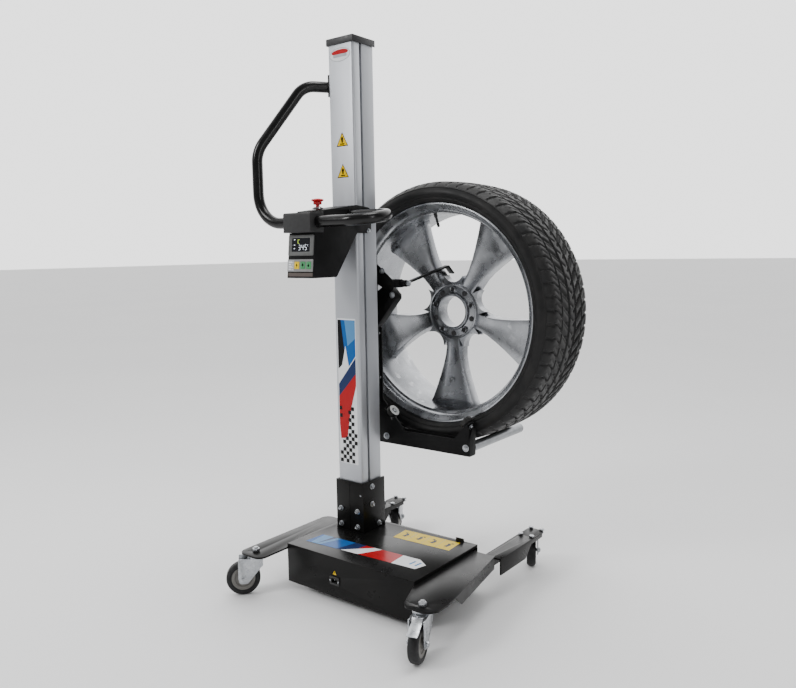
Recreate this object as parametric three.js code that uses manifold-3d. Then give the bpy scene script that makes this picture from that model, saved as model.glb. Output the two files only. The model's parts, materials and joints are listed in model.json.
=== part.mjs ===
// Mobile wheel lift trolley: a castored base with an aluminium mast, a powered carriage with a
// two-roller fork that carries a wheel, a retaining hook, push handles and a control head.
// Millimetres. X runs along the base's long side, Y points away from the operator, Z is up.
// Everything is laid out from the mast's axis, and the whole group is centred at the end.
import * as THREE from 'three';
import { mergeVertices } from 'three/addons/utils/BufferGeometryUtils.js';
import Module from 'manifold-3d';

const wasm = await Module();
wasm.setup();

// ---------------------------------------------------------------- driving dimensions
const GAP = 0.4;

const caster = {
  wheelRadius: 46.5,
  treadWidth: 28,
  hubRadius: 32,
  trail: 37,
  headClearance: 20,
  legThickness: 3,
  axleRadius: 5,
  axleGap: 0.5,
  stemRaceRadius: 25,
  plateRaceRadius: 20.8,
  studRadius: 5.6,
};

const deck = {
  thickness: 5,
  left: -160,
  right: 487,
  rearArmReach: 300,
  rearArmWidth: 52,
  rearArmDepth: 45,
};

const box = { left: -77.6, right: 362.7, front: -229.8, back: 66.7, floorGap: 16.7, rise: 8.4, sheet: 2.5 };

const mast = {
  side: 90,
  wall: 5,
  length: 1389.6,
  corner: 7,
  rearSlot: 26,
  slotY: -13,
  slotMouth: 9,
  slotDepth: 9,
  slotInner: 17,
};

const sleeve = { height: 155, frontWall: 4, sideWall: 6 };

const head = {
  bottom: 867,
  sideReach: 16,
  sheet: 2.5,
  foot: -224,
  brow: -211.5,
  browHeight: 118,
  topFront: -179.5,
  topHeight: 176,
  topBack: -46,
  topBackHeight: 194,
};

const grip = { tube: 30, y: -200, z: 1013, loopRadius: 65, loopReach: 142, tilt: THREE.MathUtils.degToRad(8) };

const sideHandle = { flangeZ: 1391, uprightX: -174.5, bendRadius: 85, flangeSize: 60, flangeThickness: 4 };

const lift = { rollerZ: 383, down: 322, up: 500, pulleyRadius: 17.5, beltWidth: 18, beltThickness: 2 };

const fork = {
  front: 91.7,
  plate: 5,
  beamHeight: 44,
  beamDepth: 31,
  rollerSpread: 140,
  rollerRadius: 14,
  rollerBore: 8.5,
  axleRadius: 8,
  rollerStart: 124,
  rollerEnd: 402,
  end: 322.7,
  guideRadius: 19,
  guideWidth: 16,
};

const wheel = {
  x: 170,
  front: 147,
  tyreRadius: 380,
  flangeRadius: 317,
  width: 218,
  sectionFront: 128,
  sectionBack: 382,
  barrel: 290,
  boreRadius: 45,
  hubRadius: 84,
  hubFace: 239,
  hubDepth: 46,
  spokeCount: 5,
  spokeInnerHalf: 22,
  spokeOuterHalf: 79,
  windowRadius: 38,
};

// ---------------------------------------------------------------- levels that follow from them
const plateBottom = 2 * caster.wheelRadius + caster.headClearance;
const deckBottom = plateBottom;
const deckTop = deckBottom + deck.thickness;
const boxTop = deckTop + box.rise;
const mastBottom = deckTop + GAP;
const mastTop = mastBottom + mast.length;
const half = mast.side / 2;
const rollerReach = wheel.tyreRadius + fork.rollerRadius + GAP;
const wheelZ = lift.rollerZ + Math.sqrt(rollerReach ** 2 - fork.rollerSpread ** 2);

// ---------------------------------------------------------------- solids and outlines
function toSolid(geometry) {
  const bare = geometry.clone();
  for (const name of Object.keys(bare.attributes)) {
    if (name !== 'position') bare.deleteAttribute(name);
  }
  const merged = mergeVertices(bare, 1e-3);
  const corners = merged.attributes.position;
  const index = merged.index.array;
  const a = new THREE.Vector3();
  const b = new THREE.Vector3();
  const c = new THREE.Vector3();
  const faces = [];
  let volume = 0;
  for (let i = 0; i < index.length; i += 3) {
    const [p, q, r] = [index[i], index[i + 1], index[i + 2]];
    if (p === q || q === r || r === p) continue;
    faces.push(p, q, r);
    a.fromBufferAttribute(corners, p);
    b.fromBufferAttribute(corners, q);
    c.fromBufferAttribute(corners, r);
    volume += a.dot(b.cross(c));
  }
  if (volume < 0) faces.reverse();
  return new wasm.Manifold(new wasm.Mesh({
    numProp: 3,
    vertProperties: new Float32Array(corners.array),
    triVerts: new Uint32Array(faces),
  }));
}

function toGeometry(solid) {
  const { vertProperties, triVerts } = solid.getMesh();
  const geometry = new THREE.BufferGeometry();
  geometry.setAttribute('position', new THREE.BufferAttribute(new Float32Array(vertProperties), 3));
  geometry.setIndex(new THREE.BufferAttribute(new Uint32Array(triVerts), 1));
  const flat = geometry.toNonIndexed();
  flat.computeVertexNormals();
  return flat;
}

const asSolid = (piece) => (piece.isBufferGeometry ? toSolid(piece) : piece);

function join(...pieces) {
  return pieces.map(asSolid).reduce((sum, piece) => sum.add(piece));
}

function cut(piece, ...tools) {
  return tools.map(asSolid).reduce((rest, tool) => rest.subtract(tool), asSolid(piece));
}

// A closed outline from [x, y, corner radius] points, with true arcs at the rounded corners.
function outline(corners) {
  const shape = new THREE.Shape();
  corners.forEach(([x, y, radius = 0], i) => {
    const before = corners[(i + corners.length - 1) % corners.length];
    const after = corners[(i + 1) % corners.length];
    const here = new THREE.Vector2(x, y);
    const back = new THREE.Vector2(before[0] - x, before[1] - y).normalize();
    const onward = new THREE.Vector2(after[0] - x, after[1] - y).normalize();
    const halfAngle = Math.acos(back.dot(onward)) / 2;
    const start = here.clone().addScaledVector(back, radius / Math.tan(halfAngle));
    if (i === 0) shape.moveTo(start.x, start.y);
    else shape.lineTo(start.x, start.y);
    if (radius === 0) return;
    const end = here.clone().addScaledVector(onward, radius / Math.tan(halfAngle));
    const inward = back.clone().add(onward).normalize();
    const centre = here.clone().addScaledVector(inward, radius / Math.sin(halfAngle));
    const from = start.clone().sub(centre).angle();
    const to = end.clone().sub(centre).angle();
    shape.absarc(centre.x, centre.y, radius, from, to, back.cross(onward) > 0);
  });
  return shape;
}

// Moves every corner of a geometry by a rule, so that shared faces land on exactly equal numbers.
function remap(geometry, rule) {
  const corners = geometry.attributes.position;
  for (let i = 0; i < corners.count; i += 1) {
    corners.setXYZ(i, ...rule(corners.getX(i), corners.getY(i), corners.getZ(i)));
  }
  return geometry;
}

const extrude = (shape, depth, arcSteps = 5) =>
  new THREE.ExtrudeGeometry(shape, { depth, bevelEnabled: false, curveSegments: arcSteps });

// Plates: an outline in XY raised along Z, in XZ run along Y, or in YZ run along X.
const slab = (shape, z0, z1) => remap(extrude(shape, 1), (u, v, w) => [u, v, w < 0.5 ? z0 : z1]);
const wallXZ = (shape, y0, y1) => remap(extrude(shape, 1), (u, v, w) => [u, w < 0.5 ? y1 : y0, v]);
const wallYZ = (shape, x0, x1) => remap(extrude(shape, 1), (u, v, w) => [w < 0.5 ? x0 : x1, u, v]);

function block(x0, x1, y0, y1, z0, z1) {
  return remap(new THREE.BoxGeometry(1, 1, 1), (x, y, z) => [
    x < 0 ? x0 : x1,
    y < 0 ? y0 : y1,
    z < 0 ? z0 : z1,
  ]);
}

function rod(radius, from, to, sides = 20) {
  const start = new THREE.Vector3(...from);
  const span = new THREE.Vector3(...to).sub(start);
  const geometry = new THREE.CylinderGeometry(radius, radius, span.length(), sides);
  geometry.translate(0, span.length() / 2, 0);
  const turn = new THREE.Quaternion().setFromUnitVectors(new THREE.Vector3(0, 1, 0), span.normalize());
  return geometry.applyQuaternion(turn).translate(start.x, start.y, start.z);
}

// A ring about the Y axis from a closed [radius, y] profile.
function ring(profile, sides = 32) {
  const points = profile.map(([radius, y]) => new THREE.Vector2(radius, y));
  points.push(points[0].clone());
  return new THREE.LatheGeometry(points, sides);
}

// A path of straight runs with rounded corners, for bent tubes.
function bentPath(corners) {
  const path = new THREE.CurvePath();
  let last = new THREE.Vector3(...corners[0].at);
  corners.slice(1, -1).forEach(({ at, radius }, i) => {
    const here = new THREE.Vector3(...at);
    const back = new THREE.Vector3(...corners[i].at).sub(here).normalize();
    const onward = new THREE.Vector3(...corners[i + 2].at).sub(here).normalize();
    const halfAngle = back.angleTo(onward) / 2;
    const reach = radius / Math.tan(halfAngle);
    const start = here.clone().addScaledVector(back, reach);
    const end = here.clone().addScaledVector(onward, reach);
    path.add(new THREE.LineCurve3(last, start));
    path.add(new THREE.QuadraticBezierCurve3(start, here, end));
    last = end;
  });
  path.add(new THREE.LineCurve3(last, new THREE.Vector3(...corners.at(-1).at)));
  return path;
}

function tube(path, diameter, steps, sides = 6) {
  const section = new THREE.Shape();
  section.absarc(0, 0, diameter / 2, 0, 2 * Math.PI, false);
  return new THREE.ExtrudeGeometry(section, {
    steps,
    extrudePath: path,
    bevelEnabled: false,
    curveSegments: sides,
  });
}

// ---------------------------------------------------------------- materials and the scene graph
const finish = (color, roughness, metalness = 0) => ({ color, roughness, metalness });
const BLACK_PAINT = finish(0x15161a, 0.35);
const SILVER = finish(0xb9bec6, 0.38, 0.85);
const ZINC = finish(0xc8ccd0, 0.3, 0.95);
const RUBBER = finish(0x17181a, 0.8);
const ALLOY = finish(0xc9ced4, 0.28, 0.95);
const PLASTIC = finish(0x222326, 0.55);
const GREY_PLASTIC = finish(0x8d918f, 0.5);
const RED = finish(0xc1121c, 0.35);
const YELLOW = finish(0xe9c319, 0.45);
const GREEN = finish(0x3a9a54, 0.45);
const STEEL = finish(0x8c9095, 0.35, 0.9);
const CORE = finish(0xa9a69b, 0.5);

const trolley = new THREE.Group();

function place(name, piece, look, parent = trolley) {
  const geometry = piece.isBufferGeometry ? piece : toGeometry(piece);
  const mesh = new THREE.Mesh(geometry, new THREE.MeshStandardMaterial(look));
  mesh.name = name;
  parent.add(mesh);
  return mesh;
}

// ---------------------------------------------------------------- base: deck, arms and box
const frontStem = { leftX: -122, rightX: 443, y: -306 };
const armCentre = { left: -82, right: 424 };
const rearSwivelY = 265;
const padFront = -338;
const deckBack = 46;
const deckJoin = { left: -20, right: 340 };
const studHole = caster.studRadius + GAP;
const beltHole = { x: 15, front: -18, back: 32 };

function hole(x, y, radius, z0, z1) {
  return rod(radius, [x, y, z0], [x, y, z1], 16);
}

function leftArmPlate() {
  const boxSide = box.left - GAP;
  const shape = outline([
    [deck.left, padFront, 24],
    [-72, padFront, 24],
    [-72, box.front - GAP],
    [boxSide, box.front - GAP],
    [boxSide, box.front + box.sheet + GAP],
    [deckJoin.left, box.front + box.sheet + GAP],
    [deckJoin.left, 22],
    [deck.left, 22, 24],
  ]);
  const plate = slab(shape, deckBottom, deckTop);
  return cut(plate, hole(frontStem.leftX, frontStem.y, studHole, deckBottom - 1, deckTop + 1));
}

function deckPlate() {
  const shape = outline([
    [deckJoin.left + GAP, box.front + box.sheet + GAP],
    [deckJoin.right - GAP, box.front + box.sheet + GAP],
    [deckJoin.right - GAP, deckBack + 15],
    [deckJoin.left + GAP, deckBack + 15],
  ]);
  const opening = block(-beltHole.x, beltHole.x, beltHole.front, beltHole.back, deckBottom - 1, deckTop + 1);
  return cut(slab(shape, deckBottom, deckTop), opening);
}

const lipTop = { front: [482, -228], back: [433, 40] };

function rightArmPlate() {
  const boxSide = box.right + GAP;
  const shape = outline([
    [deckJoin.right, box.front + box.sheet + GAP],
    [boxSide, box.front + box.sheet + GAP],
    [boxSide, box.front - 2],
    [396, -312, 20],
    [410, padFront + 6, 18],
    [470, padFront + 6, 18],
    [deck.right, -306, 14],
    [deck.right, -262, 14],
    lipTop.front,
    lipTop.back,
    [deckJoin.right, lipTop.back[1]],
  ]);
  const plate = cut(
    slab(shape, deckBottom, deckTop),
    hole(frontStem.rightX, frontStem.y, studHole, deckBottom - 1, deckTop + 1),
  );
  const along = new THREE.Vector2(lipTop.back[0] - lipTop.front[0], lipTop.back[1] - lipTop.front[1]);
  const lip = wallYZ(outline([
    [0, deckTop],
    [42, deckTop - 34],
    [along.length() - 4, deckTop - 34],
    [along.length(), deckTop],
  ]), -deck.thickness, 0);
  lip.rotateZ(along.angle() - Math.PI / 2).translate(lipTop.front[0], lipTop.front[1], 0);
  return join(plate, lip);
}

function rearArm(centreX) {
  const low = deckBottom - GAP - deck.rearArmDepth;
  const high = deckBottom - GAP;
  const side = deck.rearArmWidth / 2;
  const back = deck.rearArmReach;
  const web = slab(outline([
    [centreX - side, -150],
    [centreX + side, -150],
    [centreX + side, back, 16],
    [centreX - side, back, 16],
  ]), high - 4, high);
  const flangeShape = [
    [-150, high],
    [-150, low],
    [rearSwivelY - 84, low],
    [rearSwivelY - 50, high - 14],
    [back - 18, high - 13],
    [back - 16, high],
  ];
  const flanges = [-side, side - 4].map((x) => wallYZ(outline(flangeShape), centreX + x, centreX + x + 4));
  const holes = boltPlaces(centreX).map(([x, y]) => hole(x, y, 4.4, high - 5, high + 1));
  const lipRoom = block(lipTop.back[0] - 8, deck.right, -151, lipTop.back[1] + 3, low - 1, high + 1);
  return cut(join(web, ...flanges), lipRoom, ...holes);
}

function boltPlaces(centreX) {
  const [dx, dy] = [17.5, 32];
  return [[-dx, -dy], [dx, -dy], [-dx, dy], [dx, dy]].map(([x, y]) => [centreX + x, rearSwivelY + y]);
}

const trayBottom = box.floorGap + GAP;
const inletPlace = { x: 99, z: 61.6 };

function batteryTray() {
  const [x0, x1] = [-46, box.right - GAP];
  const [y0, y1] = [box.front + box.sheet + GAP, box.back - box.sheet - GAP];
  const top = deckBottom - GAP;
  return join(
    block(x0, x1, y0, y1, trayBottom, trayBottom + 3),
    block(x0, x0 + 3, y0, y1, trayBottom, top),
    block(x1 - 3, x1, y0, y1, trayBottom, top),
  );
}

function baseCover() {
  const front = block(box.left, box.right, box.front, box.front + box.sheet, box.floorGap, boxTop);
  const back = block(-44, box.right, box.back - box.sheet, box.back, box.floorGap, boxTop);
  const top = block(box.left, box.right, box.front, box.back, boxTop - box.sheet, boxTop);
  const sides = [box.left, box.right - box.sheet].map((x) =>
    block(x, x + box.sheet, box.front, box.back, deckTop + GAP, boxTop));
  const footprint = sleeveSize(GAP + 0.6);
  const sleeveHole = block(-footprint.x, footprint.x, -footprint.y, footprint.y, boxTop - 5, boxTop + 1);
  const inletHole = block(inletPlace.x - 14, inletPlace.x + 14, box.front - 1, box.front + 5,
    inletPlace.z - 10, inletPlace.z + 10);
  const tab = block(296, 322, box.back - 8, box.back - 5, boxTop - 1, boxTop + 9);
  return cut(join(front, back, top, ...sides, tab), sleeveHole, inletHole);
}

place('left_arm_plate', leftArmPlate(), BLACK_PAINT);
place('deck_plate', deckPlate(), BLACK_PAINT);
place('right_arm_plate', rightArmPlate(), BLACK_PAINT);
place('rear_arm_left', rearArm(armCentre.left), BLACK_PAINT);
place('rear_arm_right', rearArm(armCentre.right), BLACK_PAINT);
place('battery_tray', batteryTray(), BLACK_PAINT);
place('base_cover', baseCover(), BLACK_PAINT);

const trayFloor = trayBottom + 3 + GAP;
const batteryHeight = Math.min(90, deckBottom - trayFloor - 2.5);
const battery = { length: 151, depth: 65, height: batteryHeight, x: 190, y: [-212, -140] };
battery.y.forEach((y, i) => {
  const body = block(battery.x, battery.x + battery.length, y, y + battery.depth, trayFloor, trayFloor + battery.height);
  const post = rod(4, [battery.x + 12, y + 12, trayFloor + battery.height - 1],
    [battery.x + 12, y + 12, deckBottom - 1], 10);
  place(`battery_${i + 1}`, battery.height + trayFloor < deckBottom - 2 ? join(body, post) : body, PLASTIC);
});
place('charger_module', block(60, 170, -170, -90, trayFloor, trayFloor + 45), GREY_PLASTIC);

function powerInlet() {
  const { x, z } = inletPlace;
  const flange = wallXZ(outline([[x - 17, z - 12, 4], [x + 17, z - 12, 4], [x + 17, z + 12, 4], [x - 17, z + 12, 4]]),
    box.front - GAP - 2, box.front - GAP);
  const body = block(x - 13, x + 13, box.front - GAP - 1, box.front + 22, z - 9, z + 9);
  const socket = block(x - 10, x + 10, box.front - 10, box.front + 14, z - 6, z + 6);
  return cut(join(flange, body), socket);
}
place('power_inlet', powerInlet(), PLASTIC);

// ---------------------------------------------------------------- mast, sleeve and cap
function sleeveSize(extra = 0) {
  const clear = half + 0.5;
  return { x: clear + sleeve.sideWall + extra, y: clear + sleeve.frontWall + extra, inner: clear };
}

function sleeveBracket() {
  const size = sleeveSize();
  const [z0, z1] = [deckTop + GAP, deckTop + sleeve.height];
  const outer = block(-size.x, size.x, -size.y, size.y, z0, z1);
  const inner = block(-size.inner, size.inner, -size.inner, size.y + 1, z0 - 1, z1 + 1);
  return cut(outer, inner);
}

// Extrusion section: rounded square with a T-slot in each side wall and an open slot at the rear.
function mastSection() {
  const inner = half - mast.wall;
  const pad = mast.slotDepth + mast.wall - 2;
  const mouth = mast.slotMouth / 2;
  const wide = mast.slotInner / 2;
  const boss = wide + 3;
  const y = mast.slotY;
  const gap = mast.rearSlot / 2;
  const right = [
    [gap, half],
    [half, half, mast.corner],
    [half, y + mouth],
    [half - 4, y + mouth],
    [half - 4, y + wide],
    [half - mast.slotDepth, y + wide],
    [half - mast.slotDepth, y - wide],
    [half - 4, y - wide],
    [half - 4, y - mouth],
    [half, y - mouth],
    [half, -half, mast.corner],
  ];
  const rightInner = [
    [inner, -inner],
    [inner, y - boss],
    [half - pad, y - boss],
    [half - pad, y + boss],
    [inner, y + boss],
    [inner, inner],
    [gap, inner],
  ];
  const flip = (list) => list.map(([x, yy, radius]) => [-x, yy, radius]).reverse();
  return outline([...right, ...flip(right), ...flip(rightInner), ...rightInner]);
}

function capSolid() {
  const over = half + 3;
  const skirt = 13;
  const top = block(-over, over, -over, over, mastTop + GAP, mastTop + GAP + 5);
  const rim = [
    block(-over, over, -over, -half - GAP, mastTop - skirt, mastTop + GAP + 1),
    block(-over, -half - GAP, -over, over, mastTop - skirt, mastTop + GAP + 1),
    block(half + GAP, over, -over, over, mastTop - skirt, mastTop + GAP + 1),
  ];
  return join(top, ...rim);
}

place('sleeve_bracket', sleeveBracket(), BLACK_PAINT);
place('mast', slab(mastSection(), mastBottom, mastTop), SILVER);
place('mast_cap', capSolid(), PLASTIC);

// ---------------------------------------------------------------- lift drive inside the mast
const drive = { y: 6, low: 70, high: mastTop - 40, coreRadius: lift.pulleyRadius - 0.3 };

function beltLoop() {
  const outer = lift.pulleyRadius + lift.beltThickness;
  const capsule = (radius) => {
    const shape = new THREE.Shape();
    shape.absarc(drive.y, drive.low, radius, Math.PI, 2 * Math.PI, false);
    shape.absarc(drive.y, drive.high, radius, 0, Math.PI, false);
    shape.closePath();
    return shape;
  };
  const shape = capsule(outer);
  shape.holes.push(capsule(lift.pulleyRadius));
  const side = lift.beltWidth / 2;
  return toGeometry(toSolid(remap(extrude(shape, 1, 10), (u, v, w) => [w < 0.5 ? -side : side, u, v])));
}

function pulley(z, shaftTo) {
  const core = rod(drive.coreRadius, [-11, drive.y, z], [11, drive.y, z], 20);
  const shaft = rod(5, [-20, drive.y, z], [shaftTo, drive.y, z], 12);
  return join(core, shaft);
}

const gearboxFace = 22;
place('drive_pulley', pulley(drive.low, gearboxFace - GAP), STEEL);
place('idler_pulley', pulley(drive.high, 20), STEEL);
place('lift_belt', beltLoop(), RUBBER);

function gearMotor() {
  const top = deckBottom - GAP;
  const gearbox = block(gearboxFace, gearboxFace + 46, drive.y - 26, drive.y + 26, drive.low - 30, top);
  const motor = rod(27, [gearboxFace + 40, drive.y, drive.low], [gearboxFace + 150, drive.y, drive.low], 20);
  return join(gearbox, motor);
}
place('gear_motor', gearMotor(), STEEL);

// ---------------------------------------------------------------- control head and its keys
const headHalf = half + GAP + head.sheet;

function headProfile(inset) {
  const bottom = head.bottom + inset;
  return outline([
    [head.foot + inset, bottom],
    [-133, bottom, 12],
    [-54, head.bottom + 106],
    [-44, head.bottom + 118],
    [head.sideReach, head.bottom + 118, 8],
    [head.sideReach, head.bottom + 188 - inset, 14],
    [head.topBack, head.bottom + head.topBackHeight - inset],
    [head.topFront + inset, head.bottom + head.topHeight - inset],
    [head.topFront + inset, head.bottom + head.browHeight - inset],
    [head.brow + inset, head.bottom + head.browHeight - inset],
  ]);
}

function headHousing() {
  const outer = wallYZ(headProfile(0), -headHalf, headHalf);
  const room = wallYZ(headProfile(head.sheet), -half - GAP, half + GAP);
  const mastRoom = block(-half - GAP, half + GAP, -120, 60, head.bottom - 1, head.bottom + 130);
  const backEdge = Math.min(head.topBack + 0.6, -half - GAP);
  const mastTopRoom = block(-half - GAP, half + GAP, backEdge, 60, head.bottom, head.bottom + 240);
  const farRun = rod(grip.tube / 2 + 2 * GAP, [half, farRunY, farRunZ], [headHalf + 1, farRunY, farRunZ], 20);
  const stopHole = rod(9.6, [0, stopPlace.y, stopPlace.z - 12], [0, stopPlace.y, stopPlace.z + 12], 16);
  return cut(outer, room, mastRoom, mastTopRoom, farRun, stopHole);
}

const loopSpan = 2 * grip.loopRadius;
const farRunY = grip.y + loopSpan * Math.cos(grip.tilt);
const farRunZ = grip.z + loopSpan * Math.sin(grip.tilt);
const topSlope = (head.topBackHeight - head.topHeight) / (head.topBack - head.topFront);
const stopPlace = { y: -150, z: head.bottom + head.topHeight + topSlope * (-150 - head.topFront) };

function gripCollar() {
  const bore = rod(grip.tube / 2 + GAP, [-headHalf - 3, grip.y, grip.z], [headHalf + 3, grip.y, grip.z], 24);
  const bottom = head.bottom + head.browHeight + GAP;
  const front = grip.y - grip.tube / 2 - 17;
  const body = wallYZ(outline([
    [front, bottom],
    [head.topFront - GAP, bottom],
    [head.topFront - GAP, head.bottom + head.topHeight - 4],
    [front, head.bottom + head.topHeight - 6, 6],
  ]), -headHalf - 1, headHalf + 1);
  return cut(body, bore);
}

place('head_housing', headHousing(), BLACK_PAINT);
place('grip_collar', gripCollar(), BLACK_PAINT);

// The face leans back: a group whose Z runs up the panel and whose -Y points out of it.
const face = new THREE.Group();
face.position.set(0, head.foot, head.bottom);
face.rotation.x = -Math.atan2(head.brow - head.foot, head.browHeight);
trolley.add(face);

const facePlate = { half: 45.5, proud: 3 };
const rect = (x0, x1, z0, z1, radius) =>
  outline([[x0, z0, radius], [x1, z0, radius], [x1, z1, radius], [x0, z1, radius]]);

const displayArea = { z0: 59, z1: 113 };
const keypadArea = { z0: 17, z1: 49 };
const keys = [
  { name: 'key_yellow', x: -11, look: YELLOW },
  { name: 'key_down', x: 11, look: GREEN },
  { name: 'key_up', x: 32, look: GREEN },
];
const keySize = { half: 8.5, z0: 24, z1: 43, proud: 1.6 };

function displayUnit() {
  const bezel = wallXZ(rect(-facePlate.half, facePlate.half, displayArea.z0, displayArea.z1, 3),
    -facePlate.proud - GAP, -GAP);
  const recess = wallXZ(rect(-33, 33, displayArea.z0 + 10, displayArea.z1 - 8, 2), -facePlate.proud - 2, -2);
  return cut(bezel, recess);
}

function keypadPanel() {
  const panel = wallXZ(rect(-facePlate.half, facePlate.half, keypadArea.z0, keypadArea.z1, 2),
    -facePlate.proud - GAP, -GAP);
  const wells = keys.map(({ x }) => {
    const side = keySize.half + 0.5;
    return wallXZ(rect(x - side, x + side, keySize.z0 - 0.5, keySize.z1 + 0.5, 2), -facePlate.proud - 2, -1);
  });
  return cut(panel, ...wells);
}

place('display_unit', displayUnit(), GREY_PLASTIC, face);
place('keypad_panel', keypadPanel(), GREY_PLASTIC, face);
keys.forEach(({ name, x, look }) => {
  const cap = wallXZ(rect(x - keySize.half, x + keySize.half, keySize.z0, keySize.z1, 2),
    -facePlate.proud - keySize.proud, -2.4);
  place(name, cap, look, face);
});

// Emergency stop: a collar on the sloping top and a mushroom knob that presses down.
function stopCollar() {
  const outer = rod(11, [0, stopPlace.y, stopPlace.z + 2], [0, stopPlace.y, stopPlace.z + 12], 20);
  const neck = rod(9, [0, stopPlace.y, stopPlace.z - 10], [0, stopPlace.y, stopPlace.z + 4], 20);
  const bore = rod(5.4, [0, stopPlace.y, stopPlace.z - 20], [0, stopPlace.y, stopPlace.z + 20], 14);
  return cut(join(outer, neck), bore);
}

function stopKnob() {
  const stem = rod(5, [0, 0, -8], [0, 0, 20], 14);
  const profile = [[0, 17], [12, 17], [15.5, 20], [16, 24], [12, 28], [0, 30]];
  const dome = new THREE.LatheGeometry(profile.map(([r, z]) => new THREE.Vector2(r, z)), 20);
  return toGeometry(join(stem, dome.rotateX(Math.PI / 2))).translate(0, stopPlace.y, stopPlace.z);
}
place('stop_collar', stopCollar(), ZINC);
place('stop_knob', stopKnob(), RED);

// ---------------------------------------------------------------- push handle and grip loop
const insideCollar = 1.5;

function sideHandleTube() {
  const flangeFace = -half - GAP - sideHandle.flangeThickness;
  const slope = { x: sideHandle.uprightX, y: grip.y };
  const kneeShare = 0.4;
  const knee = [
    flangeFace + kneeShare * (slope.x - flangeFace),
    mast.slotY + kneeShare * (slope.y - mast.slotY),
    sideHandle.flangeZ,
  ];
  const path = bentPath([
    { at: [flangeFace - GAP + 1, mast.slotY, sideHandle.flangeZ] },
    { at: knee, radius: 60 },
    { at: [slope.x, slope.y, sideHandle.flangeZ - 181], radius: 90 },
    { at: [slope.x, slope.y, grip.z], radius: sideHandle.bendRadius },
    { at: [-insideCollar, grip.y, grip.z] },
  ]);
  const side = sideHandle.flangeSize / 2;
  const flange = block(flangeFace, flangeFace + sideHandle.flangeThickness,
    mast.slotY - side, mast.slotY + side, sideHandle.flangeZ - side, sideHandle.flangeZ + side);
  const trim = block(flangeFace + 1, 10, mast.slotY - side, mast.slotY + side,
    sideHandle.flangeZ - side, sideHandle.flangeZ + side);
  return join(cut(tube(path, grip.tube, 38), trim), flange);
}

function gripLoop() {
  const end = half + GAP + 0.4;
  const turn = grip.loopReach;
  const points = [];
  const arcSteps = 10;
  const local = (x, along) => new THREE.Vector3(
    x, grip.y + along * Math.cos(grip.tilt), grip.z + along * Math.sin(grip.tilt));
  const path = new THREE.CurvePath();
  path.add(new THREE.LineCurve3(local(insideCollar, 0), local(turn, 0)));
  for (let i = 0; i <= arcSteps; i += 1) {
    const angle = -Math.PI / 2 + (Math.PI * i) / arcSteps;
    points.push(local(turn + grip.loopRadius * Math.cos(angle), grip.loopRadius * (1 + Math.sin(angle))));
  }
  path.add(new THREE.CatmullRomCurve3(points));
  path.add(new THREE.LineCurve3(local(turn, loopSpan), local(end, loopSpan)));
  return tube(path, grip.tube, 30);
}

place('side_handle', sideHandleTube(), BLACK_PAINT);
place('grip_loop', gripLoop(), BLACK_PAINT);

// ---------------------------------------------------------------- carriage and fork
const beamBottom = lift.rollerZ - 21;
const beamTop = beamBottom + fork.beamHeight;
const stripTop = lift.rollerZ + 329;
const spine = { left: -34, right: 12, narrow: -2, bottom: lift.rollerZ + 97, top: lift.rollerZ + 552 };
const rollerX = [wheel.x - fork.rollerSpread, wheel.x + fork.rollerSpread];

function carriageSlide() {
  const y1 = fork.front - GAP;
  const lower = block(spine.left, spine.right, half + 1.5, y1, spine.bottom, stripTop);
  const upper = block(spine.left, spine.narrow, half + 1.5, y1, stripTop - 5, spine.top);
  const tongueHalf = mast.rearSlot / 2 - 1;
  const tongue = block(-tongueHalf, spine.narrow + 8, half - mast.wall - 4, half + 5, spine.bottom, stripTop);
  const inner = half - mast.wall - 1.5;
  const shoe = block(-32, 32, drive.y + lift.pulleyRadius + lift.beltThickness + 2, inner, spine.bottom, stripTop);
  const clampPad = block(-9, 9, drive.y + lift.pulleyRadius + lift.beltThickness + GAP, inner - 3,
    lift.rollerZ + 180, lift.rollerZ + 230);
  return join(lower, upper, tongue, shoe, clampPad);
}

// Small idlers at both ends of the beam that the tyre's side leans on. Their axes point at 50
// degrees from the vertical, toward the wheel's middle.
const guideLean = THREE.MathUtils.degToRad(50);
const guides = [
  { name: 'guide_roller_left', side: -1 },
  { name: 'guide_roller_right', side: 1 },
].map((guide) => ({
  ...guide,
  centre: new THREE.Vector3(wheel.x + guide.side * 130, fork.front + 19.5, lift.rollerZ + 72),
  axis: new THREE.Vector3(-guide.side * Math.sin(guideLean), 0, Math.cos(guideLean)),
}));

const along = ({ centre, axis }, distance) => centre.clone().addScaledVector(axis, distance).toArray();

// Puts a shape made about the origin, with Z as the roller's axis, at a guide roller.
const atGuide = ({ centre, axis }, geometry) =>
  geometry.rotateY(Math.atan2(axis.x, axis.z)).translate(...centre.toArray());

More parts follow.
